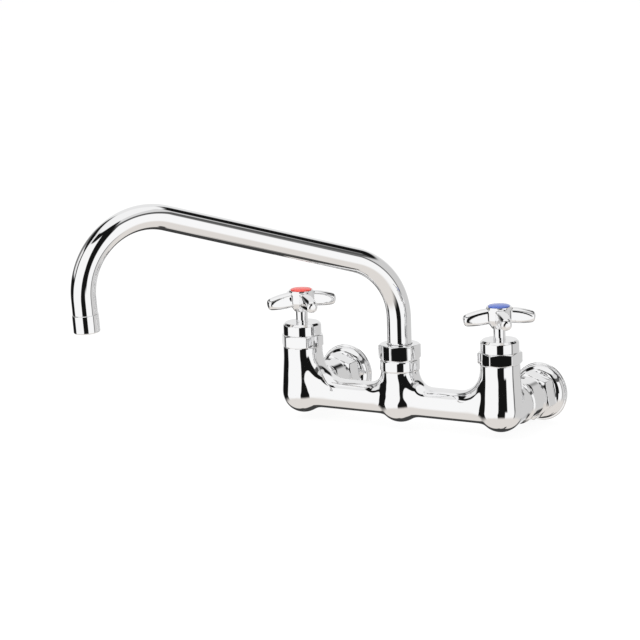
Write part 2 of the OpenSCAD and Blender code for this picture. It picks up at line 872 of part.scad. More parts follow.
module wall_flange() {
    rim_r = flange_d / 2;
    crown_r = flange_crown_d / 2;
    rim_front = tower_out - flange_rim;
    edge = 0.8;
    step = 1.6;
    dome_r = rim_r - step - crown_r;
    dome_h = flange_h - flange_rim;
    color(chrome)
        along_boss()
            rotate_extrude()
                polygon(concat(
                    [[tailpiece_d / 2 + 0.1, flange_front], [crown_r, flange_front]],
                    [for (i = [1:8]) let (a = 90 * i / 8)
                        [crown_r + dome_r * sin(a), rim_front - dome_h * cos(a)]],
                    [[rim_r - edge, rim_front], [rim_r, rim_front + edge], [rim_r, tower_out]],
                    [[rim_r - step - flange_wall, tower_out], [rim_r - step - flange_wall, rim_front]],
                    [for (i = [7:-1:0]) let (a = 90 * i / 8)
                        [crown_r + (dome_r - flange_wall) * sin(a),
                         rim_front - (dome_h - flange_wall) * cos(a)]],
                    [[tailpiece_d / 2 + 0.1, flange_front + flange_wall]]
                ));
}

// ---------------------------------------------------------------- spout

module swivel_washer() {
    color(nylon)
        at_column()
            translate([0, 0, neck_top])
                ring(ferrule_collar_d, swivel_d + 1, swivel_washer_t);
}

module spout_nut() {
    turn = 30;
    lip_z = ferrule_collar_z + ferrule_collar_t + end_gap;
    color(chrome)
        at_column()
            rotate([0, 0, turn])
                difference() {
                    union() {
                        translate([0, 0, column_h])
                            cylinder(d = spout_skirt_d, h = spout_skirt_h);
                        translate([0, 0, column_h + spout_skirt_h])
                            turned_hexagon(spout_nut_af, spout_hex_h, 0, 0.2);
                    }
                    translate([0, 0, column_h - 1])
                        cylinder(d = neck_d + 2 * thread_gap, h = lip_z - column_h + 1);
                    translate([0, 0, column_h])
                        cylinder(d = tube_d + 1, h = spout_nut_top);
                }
}

module spout_ferrule() {
    ferrule_r = swivel_r - turn_gap;
    groove_r = swivel_r - o_ring_t - turn_gap / 2;
    color(brass)
        on_spout()
            difference() {
                union() {
                    translate([0, 0, ferrule_foot])
                        cylinder(r = ferrule_r, h = tube_z - ferrule_foot);
                    translate([0, 0, ferrule_collar_z])
                        cylinder(d = ferrule_collar_d, h = ferrule_collar_t);
                    translate([0, 0, tube_z])
                        cylinder(r = tube_bore_r - thread_gap, h = ferrule_socket);
                }
                translate([0, 0, ferrule_foot - 1])
                    cylinder(d = ferrule_bore_d, h = ferrule_depth + ferrule_socket + 20);
                for (z = o_ring_heights)
                    translate([0, 0, z - o_ring_t / 2 - 0.2])
                        ring(3 * ferrule_r, 2 * groove_r, o_ring_t + 0.4);
            }
}

module spout_o_rings() {
    color(rubber)
        on_spout()
            for (z = o_ring_heights)
                translate([0, 0, z])
                    rotate_extrude()
                        translate([swivel_r - turn_gap / 2 - o_ring_t / 2, 0])
                            circle(d = o_ring_t - turn_gap);
}

// One bend of the spout's rod, about its own centre
module spout_bend(radius, from, angle) {
    rotate([90, 0, 0])
        rotate([0, 0, from])
            rotate_extrude(angle = angle)
                translate([bend_r, 0])
                    circle(r = radius + bend_swell);
}

// Bent rod along the spout's path
module spout_rod(radius, foot_z, leg_len) {
    translate([0, 0, foot_z])
        rotate([0, 0, 180])
            cylinder(r = radius, h = bend_start - foot_z + bend_lap);
    translate([bend_r, 0, bend_start])
        spout_bend(radius, 90 + run_slope, 90 - run_slope);
    translate([run_start.x, 0, run_start.y])
        rotate([0, 90 - run_slope, 0])
            translate([0, 0, -bend_lap])
                cylinder(r = radius, h = run_len + 2 * bend_lap);
    translate([tail_bend_centre.x, 0, tail_bend_centre.y])
        spout_bend(radius, -outlet_lean, 90 + run_slope + outlet_lean);
    translate([leg_start.x, 0, leg_start.y])
        rotate([0, 180 + outlet_lean, 0])
            translate([0, 0, -bend_lap])
                cylinder(r = radius, h = leg_len + bend_lap);
}

module spout_tube() {
    leg_len = outlet_leg - outlet_collar_len;
    color(chrome)
        on_spout()
            difference() {
                spout_rod(tube_r, tube_z, leg_len);
                spout_rod(tube_bore_r, tube_z - 1, leg_len + 1);
            }
}

module outlet_collar() {
    edge = 0.6;
    collar_r = outlet_collar_d / 2;
    seat_depth = outlet_collar_len - straightener_t - 2;
    color(chrome)
        at_outlet()
            difference() {
                union() {
                    translate([0, 0, -outlet_collar_len])
                        rotate_extrude()
                            polygon([
                                [0, 0],
                                [collar_r - edge, 0],
                                [collar_r, edge],
                                [collar_r, outlet_collar_len - edge / 2],
                                [collar_r - edge / 2, outlet_collar_len],
                                [0, outlet_collar_len]
                            ]);
                    cylinder(r = tube_bore_r - thread_gap, h = outlet_spigot_len);
                }
                translate([0, 0, -outlet_collar_len - 1])
                    cylinder(d = outlet_bore_d, h = outlet_collar_len - seat_depth + straightener_t + 1);
                translate([0, 0, -outlet_collar_len])
                    cylinder(d = outlet_bore_d - 2, h = outlet_collar_len + outlet_spigot_len + 1);
            }
}

module flow_straightener() {
    rings = [1, 6, 12];
    pitch = (outlet_bore_d / 2 - 1.2) / 2.6;
    seat_depth = outlet_collar_len - straightener_t - 2;
    color(nylon)
        at_outlet()
            translate([0, 0, -seat_depth])
                difference() {
                    cylinder(d = outlet_bore_d - 2 * thread_gap, h = straightener_t);
                    for (k = [0:2])
                        for (i = [0:rings[k] - 1])
                            rotate([0, 0, i * 360 / rings[k]])
                                translate([k * pitch, 0, -1])
                                    cylinder(d = straightener_hole_d, h = straightener_t + 2, $fn = 24);
                }
}

// ---------------------------------------------------------------- one module per node

module hot_seat() at_tower(hot) seat();
module cold_seat() at_tower(cold) seat();
module hot_seat_washer() at_tower(hot) seat_washer();
module cold_seat_washer() at_tower(cold) seat_washer();
module hot_washer_screw() at_tower(hot) washer_screw();
module cold_washer_screw() at_tower(cold) washer_screw();
module hot_washer_holder() at_tower(hot) washer_holder();
module cold_washer_holder() at_tower(cold) washer_holder();
module hot_stem() at_tower(hot) stem();
module cold_stem() at_tower(cold) stem();
module hot_bonnet() at_tower(hot) bonnet(11);
module cold_bonnet() at_tower(cold) bonnet(30);
module hot_bonnet_gasket() at_tower(hot) bonnet_gasket();
module cold_bonnet_gasket() at_tower(cold) bonnet_gasket();
module hot_packing() at_tower(hot) packing();
module cold_packing() at_tower(cold) packing();
module hot_bonnet_cap() at_tower(hot) bonnet_cap();
module cold_bonnet_cap() at_tower(cold) bonnet_cap();
module hot_handle() at_tower(hot) handle(hot_turn);
module cold_handle() at_tower(cold) handle(cold_turn);
module hot_handle_screw() at_tower(hot) handle_screw();
module cold_handle_screw() at_tower(cold) handle_screw();
module hot_index_button() at_tower(hot) index_button(red);
module cold_index_button() at_tower(cold) index_button(blue);
module hot_coupling_washer() at_tower(hot) coupling_washer();
module cold_coupling_washer() at_tower(cold) coupling_washer();
module hot_tailpiece() at_tower(hot) tailpiece();
module cold_tailpiece() at_tower(cold) tailpiece();
module hot_coupling_nut() at_tower(hot) coupling_nut();
module cold_coupling_nut() at_tower(cold) coupling_nut();
module hot_wall_flange() at_tower(hot) wall_flange();
module cold_wall_flange() at_tower(cold) wall_flange();

body_casting();
hot_seat();
cold_seat();
hot_seat_washer();
cold_seat_washer();
hot_washer_screw();
cold_washer_screw();
hot_washer_holder();
cold_washer_holder();
hot_stem();
cold_stem();
hot_bonnet();
cold_bonnet();
hot_bonnet_gasket();
cold_bonnet_gasket();
hot_packing();
cold_packing();
hot_bonnet_cap();
cold_bonnet_cap();
hot_handle();
cold_handle();
hot_handle_screw();
cold_handle_screw();
hot_index_button();
cold_index_button();
hot_coupling_washer();
cold_coupling_washer();
hot_tailpiece();
cold_tailpiece();
hot_coupling_nut();
cold_coupling_nut();
hot_wall_flange();
cold_wall_flange();
swivel_washer();
spout_nut();
spout_ferrule();
spout_o_rings();
spout_tube();
outlet_collar();
flow_straightener();
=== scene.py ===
import math

import bmesh
import bpy
from bpy.props import FloatProperty, FloatVectorProperty, IntProperty, PointerProperty
from mathutils import Matrix, Vector


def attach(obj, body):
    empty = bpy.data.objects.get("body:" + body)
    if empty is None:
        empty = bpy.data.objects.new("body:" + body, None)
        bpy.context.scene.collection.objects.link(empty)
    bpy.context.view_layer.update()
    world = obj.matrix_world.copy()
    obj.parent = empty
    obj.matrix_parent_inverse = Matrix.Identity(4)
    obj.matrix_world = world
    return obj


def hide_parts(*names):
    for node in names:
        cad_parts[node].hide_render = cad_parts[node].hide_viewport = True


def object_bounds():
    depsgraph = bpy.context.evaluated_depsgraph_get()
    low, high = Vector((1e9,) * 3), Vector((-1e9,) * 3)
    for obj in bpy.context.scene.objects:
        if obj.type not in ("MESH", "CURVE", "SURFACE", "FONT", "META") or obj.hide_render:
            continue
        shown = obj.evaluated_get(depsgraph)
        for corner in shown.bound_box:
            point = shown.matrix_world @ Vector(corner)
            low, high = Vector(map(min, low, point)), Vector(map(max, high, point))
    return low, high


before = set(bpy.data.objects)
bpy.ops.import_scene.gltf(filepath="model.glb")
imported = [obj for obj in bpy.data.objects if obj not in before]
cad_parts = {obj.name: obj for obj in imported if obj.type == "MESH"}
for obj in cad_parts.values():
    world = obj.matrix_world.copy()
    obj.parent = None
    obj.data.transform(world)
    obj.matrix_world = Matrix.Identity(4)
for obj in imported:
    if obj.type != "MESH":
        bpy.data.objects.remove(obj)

bl_info = {
    "name": "Wall-mounted mixing faucet",
    "version": (1, 0, 0),
    "blender": (4, 5, 0),
    "location": "View3D > Sidebar > Faucet",
    "description": "Dresses the faucet's solids with smooth polished pieces and finishes",
    "category": "Object",
}

MM = 0.001
TINY = 1e-7
FULL_TURN = 2 * math.pi
HOT, COLD = -1, 1
SIDES = {HOT: "hot", COLD: "cold"}
BODY = "faucet_body"
SPOUT = "swing_spout"

# Steps round a turned piece, and the angle from which its edges are rounded
STEPS = 96
FINE_STEPS = 128
HEXAGON_STEPS = 240
EDGE_ANGLE = math.radians(28)

# Smoothing passes before a melted form is swollen or shrunk
PASSES_BEFORE_SWELL = 6

# The casting: axes, radii, heights and the hollows' sweeps, in millimetres
TOWER_X = 101.6
TOWER_Y = -81.0
BAR_R = 14.3
BULB_R = 20.3
TOWER_R = 18.2
TOWER_TAPER_TOP = 32.0
TOWER_TOP = 42.5
TOWER_SWEEP = 23.5
COLUMN_R = 17.3
COLUMN_TAPER_TOP = 22.3
COLUMN_TOP = 28.3
COLUMN_SWEEP = 13.5
FOOT_SWEEP = 16.0

# How far posts and hubs are drawn past their flat cuts, in millimetres
PAST_CUT = 6.0
PAST_HUB_CUT = 3.0

# The share of the step between bar and post that a corner widens by
CORNER_WIDENING = 0.5

# From a tower towards the wall, in millimetres
BOSS_R = 18.3
BOSS_TAPER = 20.5
BOSS_LEN = 31.0
BEAD_R = 19.8
THREAD_TOP_R = 15.9
THREAD_ROOT_R = 15.2
THREAD_PITCH = 1.5
THREAD_TURNS = 12
FLANGE_FRONT = 70.6
FLANGE_RIM = 78.8

# Up a tower's axis, in millimetres, with the turns in degrees
HEX_TOP = 53.6
CAP_TOP = 64.5
CAP_R = 17.6
CAP_BEVEL = 2.1
STEM_R = 5.4
HUB_FOOT = 74.7
ARM_Z = 87.6
HUB_R = 11.2
HUB_TOP = 94.5
BUTTON_RIM = 95.2
BUTTON_R = 9.7
HANDLE_TURN = {HOT: 49.0, COLD: 39.0}
BONNET_TURN = {HOT: 11.0, COLD: 30.0}

# Hexagons: half across flats and corners in millimetres, the flats' roundness from 0 to 1,
# and the turns in degrees
BONNET_FLAT, BONNET_CORNER, BONNET_CROWN = 18.2, 20.6, 0.3
COUPLING_FLAT, COUPLING_CORNER, COUPLING_CROWN = 19.55, 22.3, 0.15
SPOUT_NUT_FLAT, SPOUT_NUT_CORNER, SPOUT_NUT_CROWN = 17.6, 20.0, 0.45
COUPLING_TURN = 50.0
SPOUT_NUT_TURN = 60.0
CHAMFER_SLOPE = math.tan(math.radians(30))

# An arm of a cross handle, in millimetres and degrees
ARM_DROOP = 8.0
ARM_REACH = 32.9
ARM_HALF_H = 7.1
ARM_HALF_W = 5.3
ARM_CROWN = 80.0
ARM_STRAIGHT = 14.0
ARM_ROUND = 3.6
ARM_SWEEP = 3.0

# The spout's path in its own upright plane, in millimetres and degrees, and its tube
SPOUT_SWING = 33.0
SPOUT_REACH = 304.8
BEND_R = 61.5
BEND_START = 75.6
RUN_SLOPE = 17.5
OUTLET_LEAN = 3.5
OUTLET_LEG = 29.0
COLLAR_LEN = 16.0
COLLAR_R = 11.7
COLLAR_EDGE = 0.15
BARE_LEG = OUTLET_LEG - COLLAR_LEN
TUBE_R = 11.1
TUBE_FOOT = 44.1
TUBE_WALL = 1.1
RIM_LOOP = 0.3

# The part of a noise's range that its values mostly lie in
NOISE_LOW = 0.3
NOISE_HIGH = 0.7

# The studio, in metres
CAMERA_AZIMUTH = math.radians(30.27)
CAMERA_ELEVATION = math.radians(11.85)
CAMERA_ROLL = math.radians(-1.78)
CAMERA_DISTANCE = 3.08284
CAMERA_TARGET = Vector((-0.06815, -0.1056, 0.07349))
CAMERA_RIGHT = Vector((math.cos(CAMERA_AZIMUTH), math.sin(CAMERA_AZIMUTH), 0))
FLOOR_TONE = 0.82
FLOOR_GLOW = 1.06

# Lamps: azimuth and elevation in degrees, distance and width, and share of the power
LAMPS_AROUND = Vector((-0.03, -0.12, 0.05))
LAMPS = {
    "key_lamp": (-20, 52, 1.6, 1.4, 1.0),
    "side_lamp": (70, 35, 1.8, 1.2, 0.45),
    "back_lamp": (200, 50, 1.8, 1.2, 0.35),
}

CAD_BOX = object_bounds()


# ---------------------------------------------------------------- settings


class FaucetSizes(bpy.types.PropertyGroup):
    corner: FloatProperty(
        name="Edge rounding", description="Polished rounding of turned edges",
        default=0.35 * MM, min=0.1 * MM, max=1.0 * MM, unit="LENGTH", precision=5)
    hexagon_softness: FloatProperty(
        name="Hexagon softness", description="How far polishing softens a hexagon's corners",
        default=0.5 * MM, min=0.1 * MM, max=1.5 * MM, unit="LENGTH", precision=5)
    casting_skin: FloatProperty(
        name="Casting skin", description="Grain of the blended casting's surface mesh",
        default=0.9 * MM, min=0.7 * MM, max=2.0 * MM, unit="LENGTH", precision=5)
    casting_hollow: FloatProperty(
        name="Casting hollows", description="Radius that the casting's creases are filled to",
        default=11.0 * MM, min=0.0, max=14.0 * MM, unit="LENGTH", precision=5)
    casting_polish: IntProperty(
        name="Casting polish", description="Smoothing passes over the casting",
        default=34, min=0, max=60)
    handle_skin: FloatProperty(
        name="Handle skin", description="Grain of a handle's surface mesh",
        default=0.45 * MM, min=0.35 * MM, max=1.0 * MM, unit="LENGTH", precision=5)
    arm_softness: FloatProperty(
        name="Arm softness", description="How far polishing softens an arm's flat sides",
        default=0.6 * MM, min=0.2 * MM, max=2.5 * MM, unit="LENGTH", precision=5)
    handle_polish: IntProperty(
        name="Handle polish", description="Smoothing passes over a handle",
        default=12, min=0, max=40)


class FaucetFinishes(bpy.types.PropertyGroup):
    chrome: FloatVectorProperty(
        name="Chrome", description="Tone of the chrome plate", subtype="COLOR",
        size=3, default=(0.93, 0.93, 0.935), min=0, max=1)
    brass: FloatVectorProperty(
        name="Brass", description="Tone of bare brass", subtype="COLOR",
        size=3, default=(0.80, 0.58, 0.26), min=0, max=1)
    rubber: FloatVectorProperty(
        name="Rubber", description="Tone of the seals", subtype="COLOR",
        size=3, default=(0.028, 0.028, 0.03), min=0, max=1)
    nylon: FloatVectorProperty(
        name="Nylon", description="Tone of the plastic washer and straightener", subtype="COLOR",
        size=3, default=(0.80, 0.80, 0.77), min=0, max=1)
    hot: FloatVectorProperty(
        name="Hot button", description="Red of the hot index button", subtype="COLOR",
        size=3, default=(0.66, 0.035, 0.022), min=0, max=1)
    cold: FloatVectorProperty(
        name="Cold button", description="Blue of the cold index button", subtype="COLOR",
        size=3, default=(0.045, 0.10, 0.40), min=0, max=1)


class FaucetStudio(bpy.types.PropertyGroup):
    floor_size: FloatProperty(
        name="Floor", description="Width of the floor",
        default=8.0, min=2.0, max=20.0, unit="LENGTH")
    floor_glow: FloatProperty(
        name="Floor glow", description="Share of the floor's white that needs no light",
        default=0.84, min=0.0, max=1.0, subtype="FACTOR")
    ambient: FloatProperty(
        name="Ambient", description="Level of the all-round light", default=0.85, min=0.0, max=2.0)
    lamp_power: FloatProperty(
        name="Lamp power", description="Power of the main soft lamp",
        default=16.0, min=0.0, max=200.0, unit="POWER")
    lens: FloatProperty(
        name="Lens", description="Focal length of the camera in millimetres",
        default=191.2, min=20, max=400)


# ---------------------------------------------------------------- making pieces


def at_tower(side):
    """Stands a piece on a tower's axis."""
    return Matrix.Translation((side * TOWER_X * MM, TOWER_Y * MM, 0))


def at_column():
    """Stands a piece on the column's axis."""
    return Matrix.Translation((0, TOWER_Y * MM, 0))


def on_spout():
    """Stands a piece on the column, with X along the spout as it is at rest."""
    return at_column() @ Matrix.Rotation(math.radians(-90 - SPOUT_SWING), 4, "Z")


def to_wall(side):
    """Stands a turned piece's axis along the boss, towards the wall."""
    return at_tower(side) @ Matrix.Rotation(math.radians(-90), 4, "X")


def place(bm, matrix):
    bmesh.ops.transform(bm, matrix=matrix, verts=bm.verts)


def mesh_of(name, bm):
    """Moves a form into a new mesh."""
    mesh = bpy.data.meshes.new(name)
    bm.to_mesh(mesh)
    bm.free()
    return mesh


def add_object(name, data):
    """Makes an object and links it to the scene."""
    made = bpy.data.objects.new(name, data)
    bpy.context.scene.collection.objects.link(made)
    return made


def turn_outline(bm, outline, steps, cuts=0):
    """Spins an outline of (radius, height) pairs, in millimetres, about Z."""
    verts = [bm.verts.new((radius * MM, 0, height * MM)) for radius, height in outline]
    edges = [bm.edges.new(pair) for pair in zip(verts, verts[1:])]
    geom = verts + edges
    if cuts:
        cut = bmesh.ops.subdivide_edges(bm, edges=edges, cuts=cuts)
        geom = list({item for item in geom + cut["geom"] if item.is_valid})
    bmesh.ops.spin(bm, geom=geom, cent=(0, 0, 0), axis=(0, 0, 1), angle=FULL_TURN,
                   steps=steps, use_merge=True, use_duplicate=False)


def soft_min(a, b, softness):
    """The smaller of two lengths, blended where they come within the softness."""
    overlap = max(softness - abs(a - b), 0.0) / softness
    return min(a, b) - overlap * overlap * softness / 4


def draw_in_hexagon(bm, low, high, across_flats, turn, softness, crown=0.0):
    """Draws a wall between two heights in to a hexagon, with buffed corners and crowned flats."""
    for vert in bm.verts:
        radius = math.hypot(vert.co.x, vert.co.y)
        if radius < TINY or not low * MM - TINY <= vert.co.z <= high * MM + TINY:
            continue
        angle = math.atan2(vert.co.y, vert.co.x) - math.radians(turn)
        from_flat = (angle + math.pi / 6) % (math.pi / 3) - math.pi / 6
        flat = across_flats * MM / 2 * (crown + (1 - crown) / math.cos(from_flat))
        scale = soft_min(radius, flat, softness) / radius
        vert.co.x *= scale
        vert.co.y *= scale


def finish_piece(name, bm, finish, body, nodes, bevel=0.0):
    """Makes a smooth piece that stands for CAD nodes and moves with their body."""
    bmesh.ops.remove_doubles(bm, verts=bm.verts, dist=2e-6)
    bmesh.ops.recalc_face_normals(bm, faces=bm.faces)
    mesh = mesh_of(name, bm)
    mesh.polygons.foreach_set("use_smooth", [True] * len(mesh.polygons))
    mesh.materials.append(bpy.data.materials[finish])
    piece = add_object(name, mesh)
    if bevel:
        edge = piece.modifiers.new("Edge", "BEVEL")
        edge.width = bevel
        edge.segments = 3
        edge.limit_method = "ANGLE"
        edge.angle_limit = EDGE_ANGLE
        edge.harden_normals = True
    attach(piece, body)
    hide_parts(*nodes)
    return piece


def melt_together(bm, voxel, passes, hollow=0.0):
    """Joins forms into one polished skin, and fills its creases to a hollow's radius."""
    mesh = mesh_of("melt", bm)
    lump = add_object("melt", mesh)
    add_skin(lump, voxel)
    if hollow:
        for grow in (hollow, -hollow):
            add_polish(lump, PASSES_BEFORE_SWELL)
            swell = lump.modifiers.new("Swell", "DISPLACE")
            swell.mid_level = 0.0
            swell.strength = grow
            add_skin(lump, voxel)
    add_polish(lump, passes)
    bpy.context.view_layer.update()
    graph = bpy.context.evaluated_depsgraph_get()
    result = bmesh.new()
    result.from_object(lump, graph)
    bpy.data.objects.remove(lump)
    bpy.data.meshes.remove(mesh)
    return result


def add_skin(lump, voxel):
    skin = lump.modifiers.new("Skin", "REMESH")
    skin.mode = "VOXEL"
    skin.voxel_size = voxel


def add_polish(lump, passes):
    polish = lump.modifiers.new("Polish", "SMOOTH")
    polish.factor = 0.5
    polish.iterations = passes


def cut_flat(bm, height, keep):
    """Cuts the faces that keep() picks off level, and closes the cut."""
    faces = [face for face in bm.faces if keep(face.calc_center_median())]
    geom = set(faces)
    for face in faces:
        geom.update(face.edges)
        geom.update(face.verts)
    made = bmesh.ops.bisect_plane(bm, geom=list(geom), plane_co=(0, 0, height * MM),
                                  plane_no=(0, 0, 1), clear_outer=True)
    rim = [item for item in made["geom_cut"] if isinstance(item, bmesh.types.BMEdge)]
    bmesh.ops.edgeloop_fill(bm, edges=rim)


# ---------------------------------------------------------------- finishes


class NodeWiring:
    """Adds nodes to a tree and joins them."""

    def __init__(self, tree):
        self.tree = tree

    def node(self, kind, **values):
        made = self.tree.nodes.new(kind)
        for key, value in values.items():
            setattr(made, key, value)
        return made

    def link(self, source, target):
        self.tree.links.new(source, target)

    def feed(self, socket, value):
        """Links a node's output to a socket, or sets the socket to a plain value."""
        if isinstance(value, bpy.types.NodeSocket):
            self.link(value, socket)
        else:
            socket.default_value = value


class Shader(NodeWiring):
    """A material's nodes around its principled surface."""

    def __init__(self, name, colour, metallic, roughness):
        self.material = bpy.data.materials.new(name)
        self.material.use_nodes = True
        super().__init__(self.material.node_tree)
        self.surface = self.tree.nodes["Principled BSDF"]
        self.set("Base Color", (*colour, 1))
        self.set("Metallic", metallic)
        self.set("Roughness", roughness)
        self.place = self.node("ShaderNodeTexCoord")

    def set(self, socket, value):
        self.surface.inputs[socket].default_value = value

    def noise(self, scale, detail, stretch=(1, 1, 1)):
        """Noise fixed to the piece, stretched along its axes."""
        turn = self.node("ShaderNodeMapping")
        turn.inputs["Scale"].default_value = stretch
        self.link(self.place.outputs["Object"], turn.inputs["Vector"])
        grain = self.node("ShaderNodeTexNoise")
        grain.inputs["Scale"].default_value = scale
        grain.inputs["Detail"].default_value = detail
        self.link(turn.outputs["Vector"], grain.inputs["Vector"])
        return grain.outputs["Fac"]

    def vary_roughness(self, value, low, high):
        spread = self.node("ShaderNodeMapRange")
        spread.inputs["From Min"].default_value = NOISE_LOW
        spread.inputs["From Max"].default_value = NOISE_HIGH
        spread.inputs["To Min"].default_value = low
        spread.inputs["To Max"].default_value = high
        self.link(value, spread.inputs["Value"])
        self.link(spread.outputs["Result"], self.surface.inputs["Roughness"])

    def vary_colour(self, value, dark, light):
        ramp = self.node("ShaderNodeValToRGB")
        ends = ramp.color_ramp.elements
        for end, position, colour in zip(ends, (NOISE_LOW, NOISE_HIGH), (dark, light)):
            end.position = position
            end.color = (*colour, 1)
        self.link(value, ramp.inputs["Fac"])
        self.link(ramp.outputs["Color"], self.surface.inputs["Base Color"])

    def bump(self, value, strength, distance):
        relief = self.node("ShaderNodeBump")
        relief.inputs["Strength"].default_value = strength
        relief.inputs["Distance"].default_value = distance
        self.link(value, relief.inputs["Height"])
        self.link(relief.outputs["Normal"], self.surface.inputs["Normal"])


def shade(colour, factor):
    """A colour made darker or lighter."""
    return tuple(min(1.0, part * factor) for part in colour)


def cast_chrome(colour):
    """Chrome over a hand-polished casting, whose skin is never quite flat."""
    finish = Shader("cast_chrome", colour, 1.0, 0.03)
    finish.vary_roughness(finish.noise(55, 4), 0.012, 0.045)
    finish.bump(finish.noise(38, 1.5), 0.35, 0.0006)
    return finish.material


def turned_chrome(colour):
    """Chrome over turned brass, with faint haze and fine polishing marks."""
    finish = Shader("turned_chrome", colour, 1.0, 0.03)
    finish.vary_roughness(finish.noise(80, 5), 0.01, 0.04)
    finish.bump(finish.noise(60, 1.5), 0.25, 0.0003)
    return finish.material


def tube_chrome(colour):
    """Chrome over drawn tube, the smoothest of the plated surfaces."""
    finish = Shader("tube_chrome", colour, 1.0, 0.025)
    finish.vary_roughness(finish.noise(30, 4), 0.008, 0.03)
    finish.bump(finish.noise(16, 1.0), 0.2, 0.0004)
    return finish.material


def bare_brass(colour):
    """Unplated brass, mottled and scored along its axis."""
    finish = Shader("bare_brass", colour, 1.0, 0.3)
    marks = finish.noise(90, 6, (1, 1, 14))
    finish.vary_colour(finish.noise(35, 4), shade(colour, 0.82), shade(colour, 1.08))
    finish.vary_roughness(marks, 0.22, 0.42)
    finish.bump(marks, 0.3, 0.0002)
    return finish.material


def seal_rubber(colour):
    """Black rubber with a fine dull grain."""
    finish = Shader("seal_rubber", colour, 0.0, 0.6)
    grain = finish.noise(420, 6)
    finish.vary_colour(grain, shade(colour, 0.75), shade(colour, 1.4))
    finish.vary_roughness(grain, 0.5, 0.72)
    finish.bump(grain, 0.4, 0.0001)
    return finish.material


def moulded_nylon(colour):
    """Pale moulded plastic with a faint sheen."""
    finish = Shader("moulded_nylon", colour, 0.0, 0.45)
    grain = finish.noise(160, 5)
    finish.vary_colour(grain, shade(colour, 0.94), shade(colour, 1.03))
    finish.vary_roughness(grain, 0.38, 0.52)
    finish.bump(grain, 0.2, 0.0001)
    return finish.material


def button_plastic(name, colour):
    """Moulded plastic under a glossy face."""
    finish = Shader(name, colour, 0.0, 0.22)
    grain = finish.noise(240, 4)
    finish.vary_colour(grain, shade(colour, 0.88), shade(colour, 1.1))
    finish.vary_roughness(grain, 0.16, 0.30)
    finish.bump(grain, 0.15, 0.0001)
    finish.set("Coat Weight", 0.25)
    finish.set("Coat Roughness", 0.08)
    return finish.material


NODE_FINISH = {
    "seat": "bare_brass", "seat_washer": "seal_rubber", "washer_screw": "bare_brass",
    "washer_holder": "bare_brass", "stem": "turned_chrome", "bonnet": "turned_chrome",
    "bonnet_gasket": "seal_rubber", "packing": "seal_rubber", "bonnet_cap": "turned_chrome",
    "handle": "cast_chrome", "handle_screw": "bare_brass", "coupling_washer": "seal_rubber",
    "tailpiece": "bare_brass", "coupling_nut": "turned_chrome", "wall_flange": "turned_chrome",
    "body_casting": "cast_chrome", "swivel_washer": "moulded_nylon", "spout_nut": "turned_chrome",
    "spout_ferrule": "bare_brass", "spout_o_rings": "seal_rubber", "spout_tube": "tube_chrome",
    "outlet_collar": "turned_chrome", "flow_straightener": "moulded_nylon",
}


class FAUCET_OT_finishes(bpy.types.Operator):
    """Makes the finishes and gives one to every solid"""
    bl_idname = "faucet.finishes"
    bl_label = "Finishes"

    def execute(self, context):
        tones = context.scene.faucet_finishes
        cast_chrome(tones.chrome)
        turned_chrome(tones.chrome)
        tube_chrome(tones.chrome)
        bare_brass(tones.brass)
        seal_rubber(tones.rubber)
        moulded_nylon(tones.nylon)
        button_plastic("hot_plastic", tones.hot)
        button_plastic("cold_plastic", tones.cold)
        for name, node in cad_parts.items():
            side, _, rest = name.partition("_")
            kind = rest if side in SIDES.values() else name
            finish = side + "_plastic" if kind == "index_button" else NODE_FINISH[kind]
            node.data.materials.clear()
            node.data.materials.append(bpy.data.materials[finish])
        return {"FINISHED"}


# ---------------------------------------------------------------- body casting


def add_bar(bm):
    """Adds the crossbar, from one tower's axis to the other's."""
    made = bmesh.ops.create_cone(bm, cap_ends=True, segments=STEPS, radius1=BAR_R * MM,
                                 radius2=BAR_R * MM, depth=2 * TOWER_X * MM)
    bmesh.ops.rotate(bm, verts=made["verts"], cent=(0, 0, 0),
                     matrix=Matrix.Rotation(math.pi / 2, 3, "Y"))


def add_post(bm, x, radius, taper_top, top):
    """Adds an upright post with a round bulb at its foot."""
    post = bmesh.new()
    bmesh.ops.create_uvsphere(post, u_segments=STEPS, v_segments=STEPS // 2, radius=BULB_R * MM)
    turn_outline(post, [(0, 0), (BULB_R, 0), (radius, taper_top), (radius, top), (0, top)], STEPS)
    place(post, Matrix.Translation((x * MM, 0, 0)))
    join_into(bm, post)


def join_into(bm, part):
    """Adds a part, with its faces turned outwards, and frees it."""
    bmesh.ops.remove_doubles(part, verts=part.verts, dist=1e-6)
    bmesh.ops.recalc_face_normals(part, faces=part.faces)
    mesh = mesh_of("part", part)
    bm.from_mesh(mesh)
    bpy.data.meshes.remove(mesh)


def add_corner(bm, x, side, post_r, sweep):
    """Sweeps the bar up into a post's side with a bent length that widens towards the post."""
    part = bmesh.new()
    made = bmesh.ops.create_circle(part, cap_ends=True, segments=64, radius=BAR_R * MM)
    bmesh.ops.translate(part, verts=made["verts"], vec=(-(sweep + BAR_R) * MM, 0, 0))
    bmesh.ops.spin(part, geom=part.faces[:], cent=(0, 0, 0), axis=(0, 1, 0),
                   angle=math.radians(-90), steps=24, use_duplicate=False)
    widest = CORNER_WIDENING * (post_r / BAR_R - 1)
    for vert in part.verts:
        turned = math.atan2(abs(vert.co.z), abs(vert.co.x))
        vert.co.y *= 1 + widest * math.cos(turned) ** 2
    if side < 0:
        bmesh.ops.scale(part, verts=part.verts, vec=(-1, 1, 1))
    bmesh.ops.translate(part, verts=part.verts,
                        vec=((x + side * (post_r + sweep)) * MM, 0, (BAR_R + sweep) * MM))
    join_into(bm, part)


